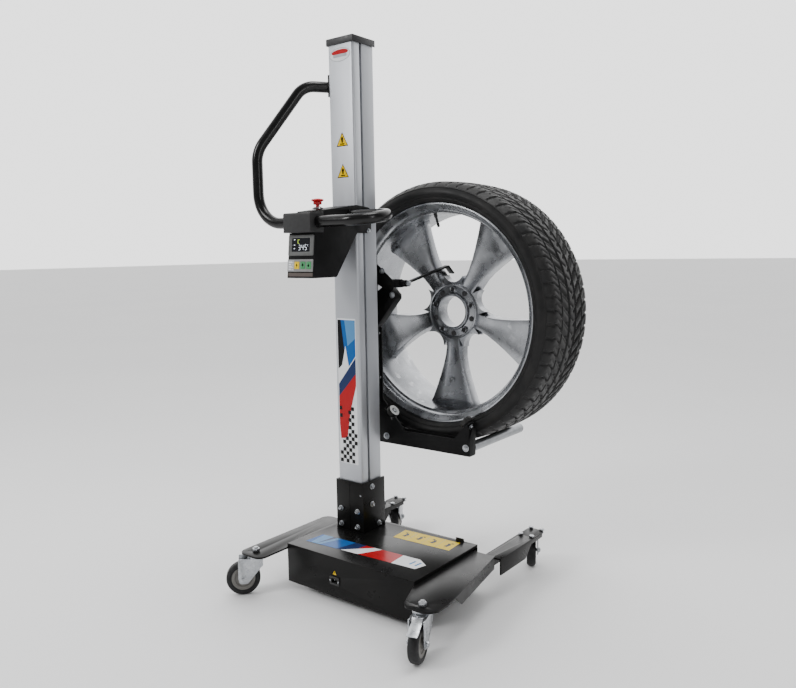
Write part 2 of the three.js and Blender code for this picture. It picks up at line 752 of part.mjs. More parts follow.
function forkPlate() {
  const plateBack = fork.front + fork.plate;
  const front = wallXZ(outline([
    [-40, beamBottom, 4],
    [fork.end - 4, beamBottom],
    [fork.end - 4, beamTop],
    [96, beamTop],
    [16, lift.rollerZ + 114],
    [16, stripTop, 6],
    [-40, stripTop, 6],
  ]), fork.front, plateBack);
  const beamBack = fork.front + fork.beamDepth;
  const bottom = block(-40, fork.end - 4, fork.front, beamBack, beamBottom, beamBottom + 4);
  const rear = block(-40, fork.end - 4, beamBack - 4, beamBack, beamBottom, beamTop);
  const cheek = wallYZ(outline([
    [fork.front, beamBottom],
    [fork.rollerStart - 1, beamBottom, 6],
    [fork.rollerStart - 1, lift.rollerZ + 57, 4],
    [fork.front + 14, lift.rollerZ + 57, 4],
    [fork.front, beamTop],
  ]), fork.end - 5, fork.end);
  const gusset = wallXZ(outline([
    [wheel.x + 100, beamTop - 2],
    [fork.end - 4, beamTop - 2],
    [fork.end - 4, lift.rollerZ + 62],
    [wheel.x + 140, lift.rollerZ + 76],
    [wheel.x + 126, lift.rollerZ + 54],
  ]), fork.front, plateBack);
  const axles = rollerX.map((x) =>
    rod(fork.axleRadius, [x, plateBack - 2, lift.rollerZ], [x, fork.rollerEnd - 4, lift.rollerZ], 14));
  const studs = guides.map((guide) => rod(4, along(guide, -fork.guideWidth / 2 - 9), along(guide, 5), 10));
  const inward = fork.guideWidth / 2 + 2;
  const tabs = guides.map((guide) => atGuide(guide, block(-13, 13, -19, 12, -inward - 4, -inward)));
  const room = fork.guideRadius + 2;
  const notches = guides.map((guide) => atGuide(guide, block(-room, room, -24, 24, 0.4 - inward, 30)));
  const plates = cut(join(front, gusset, cheek), ...notches);
  return join(plates, bottom, rear, ...axles, ...studs, ...tabs);
}

function roller() {
  const [r, b] = [fork.rollerRadius, fork.rollerBore];
  return ring([[b, fork.rollerStart], [r - 1, fork.rollerStart], [r, fork.rollerStart + 1],
    [r, fork.rollerEnd - 1], [r - 1, fork.rollerEnd], [b, fork.rollerEnd]], 24);
}

place('carriage_slide', carriageSlide(), BLACK_PAINT);
place('fork_plate', forkPlate(), BLACK_PAINT);
['roller_left', 'roller_right'].forEach((name, i) => {
  place(name, roller().translate(rollerX[i], 0, lift.rollerZ), STEEL);
});

guides.forEach((guide) => {
  const width = fork.guideWidth / 2;
  const tyre = ring([[4.5, -width], [fork.guideRadius - 2, -width], [fork.guideRadius, -width + 2],
    [fork.guideRadius, width - 2], [fork.guideRadius - 2, width], [4.5, width]], 20);
  tyre.applyQuaternion(new THREE.Quaternion().setFromUnitVectors(new THREE.Vector3(0, 1, 0), guide.axis));
  place(guide.name, tyre.translate(...guide.centre.toArray()), RUBBER);
});

// ---------------------------------------------------------------- retaining bracket and hook
const hook = {
  pivot: new THREE.Vector3(88, 112, lift.rollerZ + 457),
  pinRadius: 5,
  eyeRadius: 10,
  width: 20,
  thickness: 4,
  reach: 170,
  rise: THREE.MathUtils.degToRad(16),
  skew: THREE.MathUtils.degToRad(15.5),
  tab: 34,
};

function clampBracket() {
  const y0 = fork.front + 7;
  const z = (offset) => lift.rollerZ + offset;
  const upper = wallXZ(outline([
    [spine.left, z(542)],
    [-2, z(512)],
    [66, z(457)],
    [48, z(432), 6],
    [-2, z(454)],
    [spine.left, z(480)],
  ]), y0, y0 + 5);
  const lower = wallXZ(outline([
    [spine.left, z(394)],
    [-6, z(430)],
    [32, z(456)],
    [66, z(424)],
    [66, z(412)],
    [0, z(336)],
    [spine.left, z(300)],
  ]), y0 + 0.01, y0 + 30);
  const foot = block(spine.left, spine.narrow, fork.front, y0 + 3, z(332), z(540));
  const lug = wallYZ(outline([
    [hook.pivot.y - 12, hook.pivot.z - 12, 5],
    [hook.pivot.y + 12, hook.pivot.z - 12, 5],
    [hook.pivot.y + 12, hook.pivot.z + 12, 8],
    [hook.pivot.y - 12, hook.pivot.z + 12, 8],
  ]), 50, hook.pivot.x - hook.width / 2 - 1);
  const bore = rod(hook.pinRadius + GAP, [40, hook.pivot.y, hook.pivot.z], [90, hook.pivot.y, hook.pivot.z], 16);
  return cut(join(upper, lower, foot, lug), bore);
}

function hookPin() {
  const { x, y, z } = hook.pivot;
  const end = x + hook.width / 2 + 3.2;
  const pin = rod(hook.pinRadius, [40, y, z], [end + 2, y, z], 16);
  const headPiece = rod(8, [42, y, z], [49.4, y, z], 6);
  const nut = rod(8.5, [end, y, z], [end + 7, y, z], 6);
  return join(pin, headPiece, nut);
}

// The strap leaves its eye along +Y, rises, and ends in a tab that drops behind the hub.
function hookStrap() {
  const w = hook.width / 2;
  const eye = rod(hook.eyeRadius, [-w, 0, 0], [w, 0, 0], 20);
  const bend = [hook.reach * Math.cos(hook.rise), hook.reach * Math.sin(hook.rise)];
  const drop = hook.tab * Math.SQRT1_2;
  const t = hook.thickness;
  const strip = wallYZ(outline([
    [hook.pinRadius + 1, -t / 2],
    [bend[0], bend[1] - t],
    [bend[0] + drop - t, bend[1] - drop],
    [bend[0] + drop, bend[1] - drop + 2],
    [bend[0] + 2, bend[1] + t / 2],
    [hook.pinRadius + 1, t / 2],
  ]), -w, w);
  strip.rotateZ(-hook.skew);
  const bore = rod(hook.pinRadius + GAP, [-w - 5, 0, 0], [w + 5, 0, 0], 16);
  return toGeometry(cut(join(eye, strip), bore)).translate(...hook.pivot.toArray());
}

place('clamp_bracket', clampBracket(), BLACK_PAINT);
place('hook_pin', hookPin(), ZINC);
place('retaining_hook', hookStrap(), BLACK_PAINT);

// ---------------------------------------------------------------- wheel on the rollers
const wheelBack = wheel.front + wheel.width;

function rimSolid() {
  const [f, b] = [wheel.front, wheelBack];
  const R = wheel.flangeRadius;
  const bed = wheel.barrel + 14;
  const skin = ring([
    [R, f], [R, f + 6], [bed + 2, f + 12], [bed, f + 40], [wheel.barrel + 5, f + 60], [bed - 3, b - 40],
    [bed, b - 12], [R, b - 6], [R, b], [bed - 8, b - 3], [wheel.barrel - 2, b - 50],
    [wheel.barrel - 2, f + 60], [bed - 8, f + 3],
  ], 56);
  const hubBack = wheel.hubFace + wheel.hubDepth;
  const webRadius = wheel.hubRadius + 24;
  const disc = ring([
    [wheel.boreRadius, wheel.hubFace], [wheel.hubRadius, wheel.hubFace], [wheel.hubRadius, wheel.hubFace + 12],
    [webRadius, wheel.hubFace + 12], [webRadius, hubBack - 6], [wheel.hubRadius, hubBack], [wheel.boreRadius, hubBack],
  ], 40);
  const spokes = [];
  const windowEnds = [];
  const tipReach = Math.sqrt((wheel.barrel + 1) ** 2 - wheel.spokeOuterHalf ** 2);
  for (let i = 0; i < wheel.spokeCount; i += 1) {
    const turn = Math.PI + (i * 2 * Math.PI) / wheel.spokeCount;
    const spoke = wallXZ(outline([
      [-wheel.spokeInnerHalf, wheel.hubRadius - 6],
      [wheel.spokeInnerHalf, wheel.hubRadius - 6],
      [wheel.spokeInnerHalf + 2, wheel.hubRadius + 46],
      [wheel.spokeOuterHalf, tipReach],
      [0, wheel.barrel + 1],
      [-wheel.spokeOuterHalf, tipReach],
      [-wheel.spokeInnerHalf - 2, wheel.hubRadius + 46],
    ]), wheel.hubFace + 4, wheel.hubFace + 40);
    spokes.push(spoke.rotateY(turn));
    const reach = wheel.hubRadius + 2 + wheel.windowRadius;
    const aside = turn + Math.PI / wheel.spokeCount;
    const [x, z] = [reach * Math.sin(aside), reach * Math.cos(aside)];
    windowEnds.push(rod(wheel.windowRadius, [x, wheel.hubFace - 5, z], [x, hubBack + 5, z], 24));
  }
  return join(skin, cut(disc, ...windowEnds), ...spokes);
}

function tyreSolid() {
  const [f, b] = [wheel.sectionFront, wheel.sectionBack];
  const T = wheel.tyreRadius;
  const seat = wheel.barrel + 16.5;
  const bead = wheel.flangeRadius + GAP;
  const half1 = (wheel.front + wheelBack) / 2;
  const side = [[seat, wheel.front + 12.6], [bead, wheel.front + 6.6], [bead, wheel.front - 3], [T - 42, f],
    [T - 22, f + 6], [T - 7, f + 26], [T - 2, f + 60], [T, half1]];
  const mirror = ([r, y]) => [r, 2 * half1 - y];
  const inside = [[T - 20, half1 + 60], [T - 22, half1], [T - 20, half1 - 60]];
  const innerSide = [[T - 34, f + 32], [seat + 14, f + 34]];
  return ring([...side, ...side.slice(0, -1).reverse().map(mirror),
    ...innerSide.slice().reverse().map(mirror), ...inside, ...innerSide], 56);
}

const wheelGroup = new THREE.Group();
wheelGroup.position.set(wheel.x, 0, wheelZ);
trolley.add(wheelGroup);
place('rim', rimSolid(), ALLOY, wheelGroup);
place('tyre', tyreSolid(), RUBBER, wheelGroup);

// ---------------------------------------------------------------- casters
const raceThickness = 8;
const legOuter = caster.treadWidth / 2 + 3 + caster.legThickness;

function stemMount(mountZ, topZ) {
  const race = rod(caster.stemRaceRadius, [0, 0, mountZ - raceThickness], [0, 0, mountZ - GAP], 20);
  const stud = rod(caster.studRadius, [0, 0, mountZ - 2], [0, 0, topZ + 13], 16);
  const nut = rod(10.5, [0, 0, topZ + GAP], [0, 0, topZ + 9], 6);
  return join(race, stud, nut);
}

function plateMount(mountZ, topZ) {
  const race = rod(caster.plateRaceRadius, [0, 0, mountZ - 3 - raceThickness], [0, 0, mountZ - 2], 20);
  const plate = block(-deck.rearArmWidth / 2 + 5, deck.rearArmWidth / 2 - 5, -38, 38, mountZ - 3 - GAP, mountZ - GAP);
  const bolts = boltPlaces(0).map(([x, y]) => [x, y - rearSwivelY]).map(([x, y]) => join(
    rod(4, [x, y, mountZ - 2], [x, y, topZ + 3], 10),
    rod(7, [x, y, topZ + GAP], [x, y, topZ + 5.5], 6),
  ));
  return join(race, plate, ...bolts);
}

function forkSolid(topZ, raceRadius) {
  const axleZ = caster.wheelRadius;
  const inner = legOuter - caster.legThickness;
  const crown = rod(raceRadius - 1, [0, 0, topZ - 3], [0, 0, topZ], 20);
  const bridge = block(-18, 24, -legOuter, legOuter, topZ - 3, topZ);
  const leg = outline([
    [-18, topZ], [caster.trail + 12, topZ, 4], [caster.trail + 13, axleZ + 6, 10], [caster.trail + 10, axleZ - 12, 9],
    [caster.trail - 12, axleZ - 12, 9], [-18, topZ - 20],
  ]);
  const legs = [[-legOuter, -inner], [inner, legOuter]].map(([y0, y1]) => wallXZ(leg, y0, y1));
  const axle = rod(caster.axleRadius, [caster.trail, -legOuter - 4, axleZ], [caster.trail, legOuter + 4, axleZ], 16);
  return join(crown, bridge, ...legs, axle);
}

function casterHub() {
  const w = caster.treadWidth / 2 - 2;
  const bore = caster.axleRadius + caster.axleGap;
  const rim = caster.hubRadius;
  return ring([[bore, -w - 2], [12, -w - 2], [12, -w + 3], [rim - 6, -w + 3], [rim - 4, -w], [rim, -w],
    [rim, w], [rim - 4, w], [rim - 6, w - 3], [12, w - 3], [12, w + 2], [bore, w + 2]], 28);
}

function casterTread() {
  const w = caster.treadWidth / 2;
  const R = caster.wheelRadius;
  const seat = caster.hubRadius + GAP;
  return ring([[seat, -w + 2], [R - 8, -w], [R - 2.5, -w + 4], [R, -w + 9], [R, w - 9], [R - 2.5, w - 4],
    [R - 8, w], [seat, w - 2]], 28);
}

// A short shoe that follows the tread from its pivot between the legs to a turned-up toe.
function brakePedal(topZ) {
  const bottom = 2 * caster.wheelRadius + 1.6;
  const arm = outline([[27, bottom], [44, bottom], [60, bottom - 5], [71, bottom - 12], [83, bottom - 13],
    [84, bottom - 10.5], [72, bottom - 8.6], [61, bottom - 2], [46, bottom + 3], [38, topZ], [27, topZ]]);
  return wallXZ(arm, -legOuter + 7, legOuter - 7);
}

const casters = [
  { id: 'front_left', x: frontStem.leftX, y: frontStem.y, heading: -133, stem: true },
  { id: 'front_right', x: frontStem.rightX, y: frontStem.y, heading: -72, stem: true, brake: true },
  { id: 'rear_left', x: armCentre.left, y: rearSwivelY, heading: 118, stem: false },
  { id: 'rear_right', x: armCentre.right, y: rearSwivelY, heading: 118, stem: false },
];

for (const { id, x, y, heading, stem, brake } of casters) {
  const frame = new THREE.Group();
  frame.position.set(x, y, 0);
  trolley.add(frame);
  const armTop = deckBottom - GAP;
  const armBottom = armTop - 4;
  const mount = stem ? stemMount(deckBottom, deckTop) : plateMount(armBottom, armTop);
  place(`caster_${id}_mount`, mount, ZINC, frame);
  const forkTop = (stem ? deckBottom : armBottom - 3) - raceThickness - GAP;
  const swivel = new THREE.Group();
  swivel.rotation.z = THREE.MathUtils.degToRad(heading);
  frame.add(swivel);
  place(`caster_${id}_fork`, forkSolid(forkTop, stem ? caster.stemRaceRadius : caster.plateRaceRadius), ZINC, swivel);
  const spin = new THREE.Group();
  spin.position.set(caster.trail, 0, caster.wheelRadius);
  swivel.add(spin);
  place(`caster_${id}_hub`, casterHub(), CORE, spin);
  place(`caster_${id}_tread`, casterTread(), RUBBER, spin);
  if (brake) place(`caster_${id}_brake`, brakePedal(forkTop + 2), ZINC, swivel);
}

// ---------------------------------------------------------------- centre the model on its footprint
const bounds = new THREE.Box3().setFromObject(trolley);
const middle = bounds.getCenter(new THREE.Vector3());
trolley.position.set(-middle.x, -middle.y, -bounds.min.z);
trolley.updateMatrixWorld(true);

export default trolley;
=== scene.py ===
import json
import math

import bmesh
import bpy
from mathutils import Matrix, Vector


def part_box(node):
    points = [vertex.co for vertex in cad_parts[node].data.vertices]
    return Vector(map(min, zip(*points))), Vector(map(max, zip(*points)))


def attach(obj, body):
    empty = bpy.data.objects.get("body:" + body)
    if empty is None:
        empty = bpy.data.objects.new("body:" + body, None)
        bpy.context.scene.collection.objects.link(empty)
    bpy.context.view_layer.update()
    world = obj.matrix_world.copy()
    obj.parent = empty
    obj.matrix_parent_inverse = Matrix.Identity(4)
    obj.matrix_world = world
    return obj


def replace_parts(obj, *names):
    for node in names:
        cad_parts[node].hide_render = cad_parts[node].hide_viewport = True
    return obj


# The wheel lift trolley's looks. Sizes are in millimetres from the mast's axis on the floor
# (+X along the base box, +Y from the operator towards the wheel, +Z up) unless a line says otherwise.

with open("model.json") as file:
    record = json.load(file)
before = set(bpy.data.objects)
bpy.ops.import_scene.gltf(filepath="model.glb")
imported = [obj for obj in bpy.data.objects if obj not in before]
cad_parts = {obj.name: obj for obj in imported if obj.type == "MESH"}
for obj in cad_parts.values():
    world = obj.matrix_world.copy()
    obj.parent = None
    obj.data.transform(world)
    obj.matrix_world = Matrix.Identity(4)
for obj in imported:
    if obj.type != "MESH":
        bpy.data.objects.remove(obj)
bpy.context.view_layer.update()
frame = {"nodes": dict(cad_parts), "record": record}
NODES = frame["nodes"]
MM = 0.001


def middle(node):
    low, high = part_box(node)
    return (low + high) / 2


MAST = Vector((middle("mast").x, middle("mast").y, 0))
UP = Vector((0, 0, 1))
ALONG = Vector((1, 0, 0))
AWAY = Vector((0, 1, 0))


def at(x, y, z):
    """A point given in millimetres from the mast's axis, in the row frame in metres."""
    return MAST + Vector((x, y, z)) * MM


def new_object(name, data):
    thing = bpy.data.objects.new(name, data)
    bpy.context.scene.collection.objects.link(thing)
    return thing


def new_mesh_object(name, bm):
    mesh = bpy.data.meshes.new(name)
    bm.to_mesh(mesh)
    bm.free()
    return new_object(name, mesh)


# ------------------------------------------------------------------ camera, light and floor
def set_camera():
    yaw, pitch, roll = math.radians(37.565), math.radians(-6.891), math.radians(-0.950)
    forward = Vector((-math.sin(yaw) * math.cos(pitch), math.cos(yaw) * math.cos(pitch), math.sin(pitch)))
    level = Vector((math.cos(yaw), math.sin(yaw), 0))
    above = level.cross(forward)
    right = level * math.cos(roll) + above * math.sin(roll)
    top = above * math.cos(roll) - level * math.sin(roll)
    lens = bpy.data.cameras.new("view_camera")
    lens.sensor_width = 36
    lens.lens = 34.62
    camera = new_object("view_camera", lens)
    turn = Matrix((right, top, -forward)).transposed().to_4x4()
    camera.matrix_world = Matrix.Translation(at(1433.4, -1670.6, 932.5)) @ turn
    bpy.context.scene.camera = camera


def add_lamp(name, position, target, size, power, tint=(1, 1, 1)):
    data = bpy.data.lights.new(name, "AREA")
    data.shape = "RECTANGLE"
    data.size, data.size_y = size
    data.energy = power
    data.color = tint
    lamp = new_object(name, data)
    lamp.location = position
    lamp.rotation_euler = (Vector(target) - Vector(position)).to_track_quat("-Z", "Y").to_euler()


def set_light():
    """A bright studio wall behind the trolley, fading to a dim room behind the viewer."""
    world = bpy.data.worlds.new("studio")
    world.use_nodes = True
    tree = world.node_tree
    ground = tree.nodes["Background"]
    coords = tree.nodes.new("ShaderNodeTexCoord")
    facing_wall = tree.nodes.new("ShaderNodeVectorMath")
    facing_wall.operation = "DOT_PRODUCT"
    facing_wall.inputs[1].default_value = (-0.6, 0.78, 0.15)
    tree.links.new(coords.outputs["Generated"], facing_wall.inputs[0])
    fade = tree.nodes.new("ShaderNodeMapRange")
    fade.interpolation_type = "SMOOTHSTEP"
    for limit, value in (("From Min", -0.15), ("From Max", 0.75), ("To Min", 0.25), ("To Max", 2.3)):
        fade.inputs[limit].default_value = value
    tree.links.new(facing_wall.outputs["Value"], fade.inputs["Value"])
    tree.links.new(fade.outputs["Result"], ground.inputs["Strength"])
    ground.inputs["Color"].default_value = (1, 1, 1, 1)
    bpy.context.scene.world = world
    add_lamp("key", (-1.7, -3.0, 3.0), (0, 0, 0.7), (1.1, 1.6), 75)
    add_lamp("fill", (3.4, -0.9, 2.0), (0.1, 0, 0.7), (0.5, 2.2), 24)
    add_lamp("above", (0.4, 0.2, 3.6), (0, 0, 0.5), (1.2, 1.2), 40)


# ------------------------------------------------------------------ materials
class Finish:
    """A procedural surface: base colour broken up by noise, uneven gloss and a fine bump."""

    def __init__(self, name, colour, rough, metal=0.0):
        self.material = bpy.data.materials.new(name)
        self.material.use_nodes = True
        self.tree = self.material.node_tree
        self.shader = self.tree.nodes["Principled BSDF"]
        self.colour = colour
        self.shader.inputs["Base Color"].default_value = (*colour, 1)
        self.shader.inputs["Roughness"].default_value = rough
        self.shader.inputs["Metallic"].default_value = metal
        self.rough = rough
        self.coords = self.node("ShaderNodeTexCoord").outputs["Object"]

    def node(self, kind, **settings):
        made = self.tree.nodes.new(kind)
        for key, value in settings.items():
            setattr(made, key, value)
        return made

    def link(self, source, target):
        self.tree.links.new(source, target)

    def scaled(self, scale, centre=(0, 0, 0)):
        mapping = self.node("ShaderNodeMapping")
        self.link(self.coords, mapping.inputs["Vector"])
        mapping.inputs["Scale"].default_value = scale
        mapping.inputs["Location"].default_value = [-c * s for c, s in zip(centre, scale)]
        return mapping.outputs["Vector"]

    def noise(self, size, detail=3.0, stretch=(1, 1, 1)):
        """Noise whose blotches are about size metres across."""
        texture = self.node("ShaderNodeTexNoise")
        self.link(self.scaled([s / size for s in stretch]), texture.inputs["Vector"])
        texture.inputs["Scale"].default_value = 1.0
        texture.inputs["Detail"].default_value = detail
        return texture.outputs["Fac"]

    def spread(self, value, low, high, start=0.3, stop=0.7):
        span = self.node("ShaderNodeMapRange")
        self.link(value, span.inputs["Value"])
        for limit, edge in (("From Min", start), ("From Max", stop), ("To Min", low), ("To Max", high)):
            span.inputs[limit].default_value = edge
        return span.outputs["Result"]

    def tint(self, value, other, start=0.35, stop=0.65):
        """Blends the base colour towards another where value is high."""
        mix = self.node("ShaderNodeMix", data_type="RGBA")
        self.link(self.spread(value, 0, 1, start, stop), mix.inputs["Factor"])
        current = self.shader.inputs["Base Color"]
        if current.is_linked:
            self.link(current.links[0].from_socket, mix.inputs["A"])
        else:
            mix.inputs["A"].default_value = current.default_value
        mix.inputs["B"].default_value = (*other, 1)
        self.link(mix.outputs["Result"], current)
        return self

    def uneven(self, size, amount, stretch=(1, 1, 1)):
        value = self.spread(self.noise(size, 4, stretch), self.rough - amount, self.rough + amount)
        self.link(value, self.shader.inputs["Roughness"])
        return self

    def bump(self, value, depth, strength=0.5):
        bump = self.node("ShaderNodeBump")
        bump.inputs["Strength"].default_value = strength
        bump.inputs["Distance"].default_value = depth
        self.link(value, bump.inputs["Height"])
        current = self.shader.inputs["Normal"]
        if current.is_linked:
            self.link(current.links[0].from_socket, bump.inputs["Normal"])
        self.link(bump.outputs["Normal"], current)
        return self

    def grain(self, size, depth, strength=0.4, stretch=(1, 1, 1)):
        return self.bump(self.noise(size, 2, stretch), depth, strength)

    def polar(self, centre):
        """Distance from, and angle round, an axis along Y through centre."""
        split = self.node("ShaderNodeSeparateXYZ")
        self.link(self.scaled((1, 1, 1), centre), split.inputs["Vector"])
        flat = self.node("ShaderNodeCombineXYZ")
        self.link(split.outputs["X"], flat.inputs["X"])
        self.link(split.outputs["Z"], flat.inputs["Z"])
        length = self.node("ShaderNodeVectorMath", operation="LENGTH")
        self.link(flat.outputs["Vector"], length.inputs[0])
        angle = self.node("ShaderNodeMath", operation="ARCTAN2")
        self.link(split.outputs["Z"], angle.inputs[0])
        self.link(split.outputs["X"], angle.inputs[1])
        return length.outputs["Value"], angle.outputs["Value"], split.outputs["Y"]

    def math(self, operation, a, b=None):
        made = self.node("ShaderNodeMath", operation=operation)
        for socket, value in zip(made.inputs, (a, b)):
            if value is None:
                continue
            if isinstance(value, (int, float)):
                socket.default_value = value
            else:
                self.link(value, socket)
        return made.outputs["Value"]

    def set(self, **values):
        for key, value in values.items():
            self.shader.inputs[key.replace("_", " ")].default_value = value
        return self


def gloss_black():
    paint = Finish("gloss_black_powder_coat", (0.0045, 0.0044, 0.0044), 0.3)
    paint.tint(paint.noise(0.09), (0.007, 0.0066, 0.0062)).uneven(0.05, 0.04)
    paint.grain(0.0014, 0.00003, 0.2)
    return paint.set(Specular_IOR_Level=0.16).material


def satin_black():
    paint = Finish("satin_black_textured_paint", (0.0042, 0.0042, 0.0044), 0.46)
    paint.tint(paint.noise(0.05), (0.0075, 0.0075, 0.0078)).uneven(0.02, 0.07)
    return paint.grain(0.001, 0.00005, 0.3).set(Specular_IOR_Level=0.13).material


def handle_black():
    paint = Finish("handle_gloss_black", (0.004, 0.004, 0.0042), 0.22)
    paint.tint(paint.noise(0.06), (0.007, 0.007, 0.007)).uneven(0.03, 0.04)
    return paint.grain(0.002, 0.00002, 0.2).set(Specular_IOR_Level=0.3).material


def anodised():
    metal = Finish("silver_anodised_extrusion", (0.50, 0.515, 0.545), 0.4, 0.6)
    metal.tint(metal.noise(0.16, 2, (1, 1, 0.3)), (0.45, 0.465, 0.495)).uneven(0.02, 0.05, (1, 1, 0.06))
    return metal.grain(0.0008, 0.00005, 0.5, (1, 1, 0.01)).material


def zinc():
    metal = Finish("zinc_plated_steel", (0.5, 0.515, 0.53), 0.3, 0.9)
    metal.tint(metal.noise(0.012), (0.42, 0.435, 0.46)).uneven(0.01, 0.06)
    return metal.grain(0.0015, 0.00003, 0.25).material


def dark_steel():
    metal = Finish("oiled_machine_steel", (0.3, 0.31, 0.33), 0.34, 0.9)
    metal.tint(metal.noise(0.02), (0.2, 0.205, 0.22)).uneven(0.01, 0.08)
    return metal.grain(0.0009, 0.00005, 0.4).material


def roller_steel():
    metal = Finish("brushed_roller_tube", (0.33, 0.34, 0.355), 0.32, 0.9)
    metal.tint(metal.noise(0.03), (0.25, 0.26, 0.27)).uneven(0.02, 0.06, (1, 0.1, 1))
    return metal.grain(0.0008, 0.00006, 0.5, (1, 12, 1)).material


def chrome():
    metal = Finish("chrome_collar", (0.8, 0.81, 0.83), 0.1, 1.0)
    return metal.uneven(0.01, 0.04).grain(0.002, 0.00002, 0.3).material


def cast_alloy(centre):
    metal = Finish("cast_alloy_wheel", (0.4, 0.41, 0.43), 0.27, 0.97)
    metal.tint(metal.noise(0.11, 4), (0.22, 0.228, 0.24), 0.38, 0.72)
    metal.tint(metal.noise(0.03, 5), (0.6, 0.61, 0.63), 0.6, 0.8)
    metal.uneven(0.05, 0.09)
    reach, _, _ = metal.polar(centre)
    rings = metal.math("SINE", metal.math("MULTIPLY", reach, 2600.0))
    metal.bump(rings, 0.00001, 0.1)
    metal.grain(0.03, 0.0006, 0.22)
    return metal.grain(0.002, 0.00004, 0.3).material


def tyre_rubber(centre):
    rubber = Finish("tyre_rubber", (0.0085, 0.0085, 0.0088), 0.5)
    rubber.tint(rubber.noise(0.05, 4), (0.016, 0.0155, 0.015), 0.4, 0.7).uneven(0.03, 0.08)
    reach, _, _ = rubber.polar(centre)
    rings = rubber.math("SINE", rubber.math("MULTIPLY", reach, 1500.0))
    rubber.bump(rings, 0.00012, 0.08)
    return rubber.grain(0.0022, 0.00006, 0.3).set(Specular_IOR_Level=0.22).material


def rubber_black(name, colour=(0.012, 0.012, 0.0125), rough=0.55):
    rubber = Finish(name, colour, rough)
    rubber.tint(rubber.noise(0.015, 4), tuple(c * 1.9 for c in colour)).uneven(0.01, 0.08)
    return rubber.grain(0.0014, 0.00008, 0.3).set(Specular_IOR_Level=0.25).material


def plastic(name, colour, rough=0.42, grain=0.0008, depth=0.00005):
    moulded = Finish(name, colour, rough)
    moulded.tint(moulded.noise(0.02), tuple(c * 0.86 for c in colour)).uneven(0.01, 0.06)
    return moulded.grain(grain, depth, 0.4).material


def print_film(name, colour, rough=0.22):
    film = Finish(name, colour, rough)
    film.tint(film.noise(0.03), tuple(c * 0.93 for c in colour)).uneven(0.02, 0.04)
    return film.grain(0.004, 0.00003, 0.2).set(Specular_IOR_Level=0.15).material


def glowing(name, colour, strength):
    lit = Finish(name, colour, 0.4)
    lit.tint(lit.noise(0.003), tuple(c * 0.8 for c in colour))
    lit.set(Emission_Strength=strength)
    lit.shader.inputs["Emission Color"].default_value = (*colour, 1)
    return lit.material


WHEEL = middle("rim")
GLOSS_BLACK = gloss_black()
SATIN_BLACK = satin_black()
HANDLE_BLACK = handle_black()
ANODISED = anodised()
ZINC = zinc()
STEEL = dark_steel()
ROLLER = roller_steel()
CHROME = chrome()
ALLOY = cast_alloy(WHEEL)
TYRE = tyre_rubber(WHEEL)
TREAD = rubber_black("caster_tread_rubber")
GUIDE = rubber_black("guide_roller_rubber", (0.014, 0.0135, 0.013), 0.45)
BELT = rubber_black("toothed_belt_rubber")
CAP = plastic("mast_cap_plastic", (0.014, 0.014, 0.016), 0.45)
BATTERY = plastic("battery_case", (0.03, 0.03, 0.032), 0.5, 0.0012, 0.0001)
MODULE = plastic("charger_case", (0.3, 0.31, 0.31), 0.5)
# Pale hub for the left guide roller only: painted light, a lit copy of the black hub the right roller keeps.
LIT_PALE_RING = plastic("pale_roller_ring_painted_light", (0.62, 0.63, 0.62), 0.35)
# Near-black plastic laid in holes and wells to stand for their dark: painted shade.
CASTING_SHADE = plastic("cast_pocket_shade", (0.03, 0.03, 0.032), 0.6)
INLET = plastic("inlet_moulding", (0.012, 0.012, 0.012), 0.35)
BEZEL = plastic("bezel_grey", (0.1, 0.102, 0.1), 0.42)
FACE_GREY = plastic("keypad_grey", (0.24, 0.245, 0.24), 0.42)
STRIP = plastic("keypad_brown_strip", (0.09, 0.07, 0.06), 0.45)
CORE = plastic("caster_core_grey", (0.17, 0.163, 0.15), 0.4)
RED_KNOB = plastic("stop_knob_red", (0.62, 0.012, 0.02), 0.28)
COLLAR_BLACK = plastic("collar_moulding", (0.012, 0.012, 0.0125), 0.55, 0.0025, 0.0003)
GLASS = plastic("display_window", (0.008, 0.009, 0.012), 0.12)
YELLOW = print_film("warning_yellow", (0.85, 0.55, 0.0))
LABEL_YELLOW = print_film("label_yellow", (0.85, 0.6, 0.0), 0.3)
BLUE = print_film("print_blue", (0.01, 0.1, 0.34))
SKY = print_film("print_sky_blue", (0.09, 0.26, 0.5))
NIGHT = print_film("print_dark_blue", (0.015, 0.03, 0.1))
RED = print_film("print_red", (0.42, 0.008, 0.012))
WHITE = print_film("print_white", (0.82, 0.83, 0.85))
INK = print_film("print_black", (0.004, 0.004, 0.0045))
GREY_PRINT = print_film("print_grey", (0.42, 0.43, 0.45))
GREEN = print_film("key_green", (0.07, 0.3, 0.12), 0.35)
KEY_YELLOW = print_film("key_yellow_film", (0.85, 0.58, 0.005), 0.35)
DIGITS = glowing("display_digits", (0.85, 0.92, 1.0), 1.6)
MARK_GREEN = glowing("display_mark", (0.65, 0.9, 0.12), 1.4)


# ------------------------------------------------------------------ making pieces
def finish_piece(name, bm, material, body, smooth_below=28, turn_out=False):
    """Turns a bmesh into a named piece that rides on a CAD body, with crisp edges above an angle."""
    bmesh.ops.remove_doubles(bm, verts=bm.verts, dist=1e-6)
    if turn_out:
        bmesh.ops.recalc_face_normals(bm, faces=bm.faces)
    for face in bm.faces:
        face.smooth = True
    limit = math.radians(smooth_below)
    for edge in bm.edges:
        edge.smooth = len(edge.link_faces) == 2 and edge.calc_face_angle(0) < limit
    thing = new_mesh_object(name, bm)
    thing.data.materials.append(material)
    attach(thing, body)
    return thing


BODY_OF = {node: body for body, nodes in frame["record"]["behaviour"]["bodies"].items() for node in nodes}


def clean_copy(node):
    """The CAD node's shape as a merged bmesh with flat faces joined up."""
    bm = bmesh.new()
    bm.from_mesh(NODES[node].data)
    bmesh.ops.remove_doubles(bm, verts=bm.verts, dist=2e-6)
    bmesh.ops.dissolve_limit(bm, angle_limit=math.radians(0.7), verts=bm.verts, edges=bm.edges)
    return bm


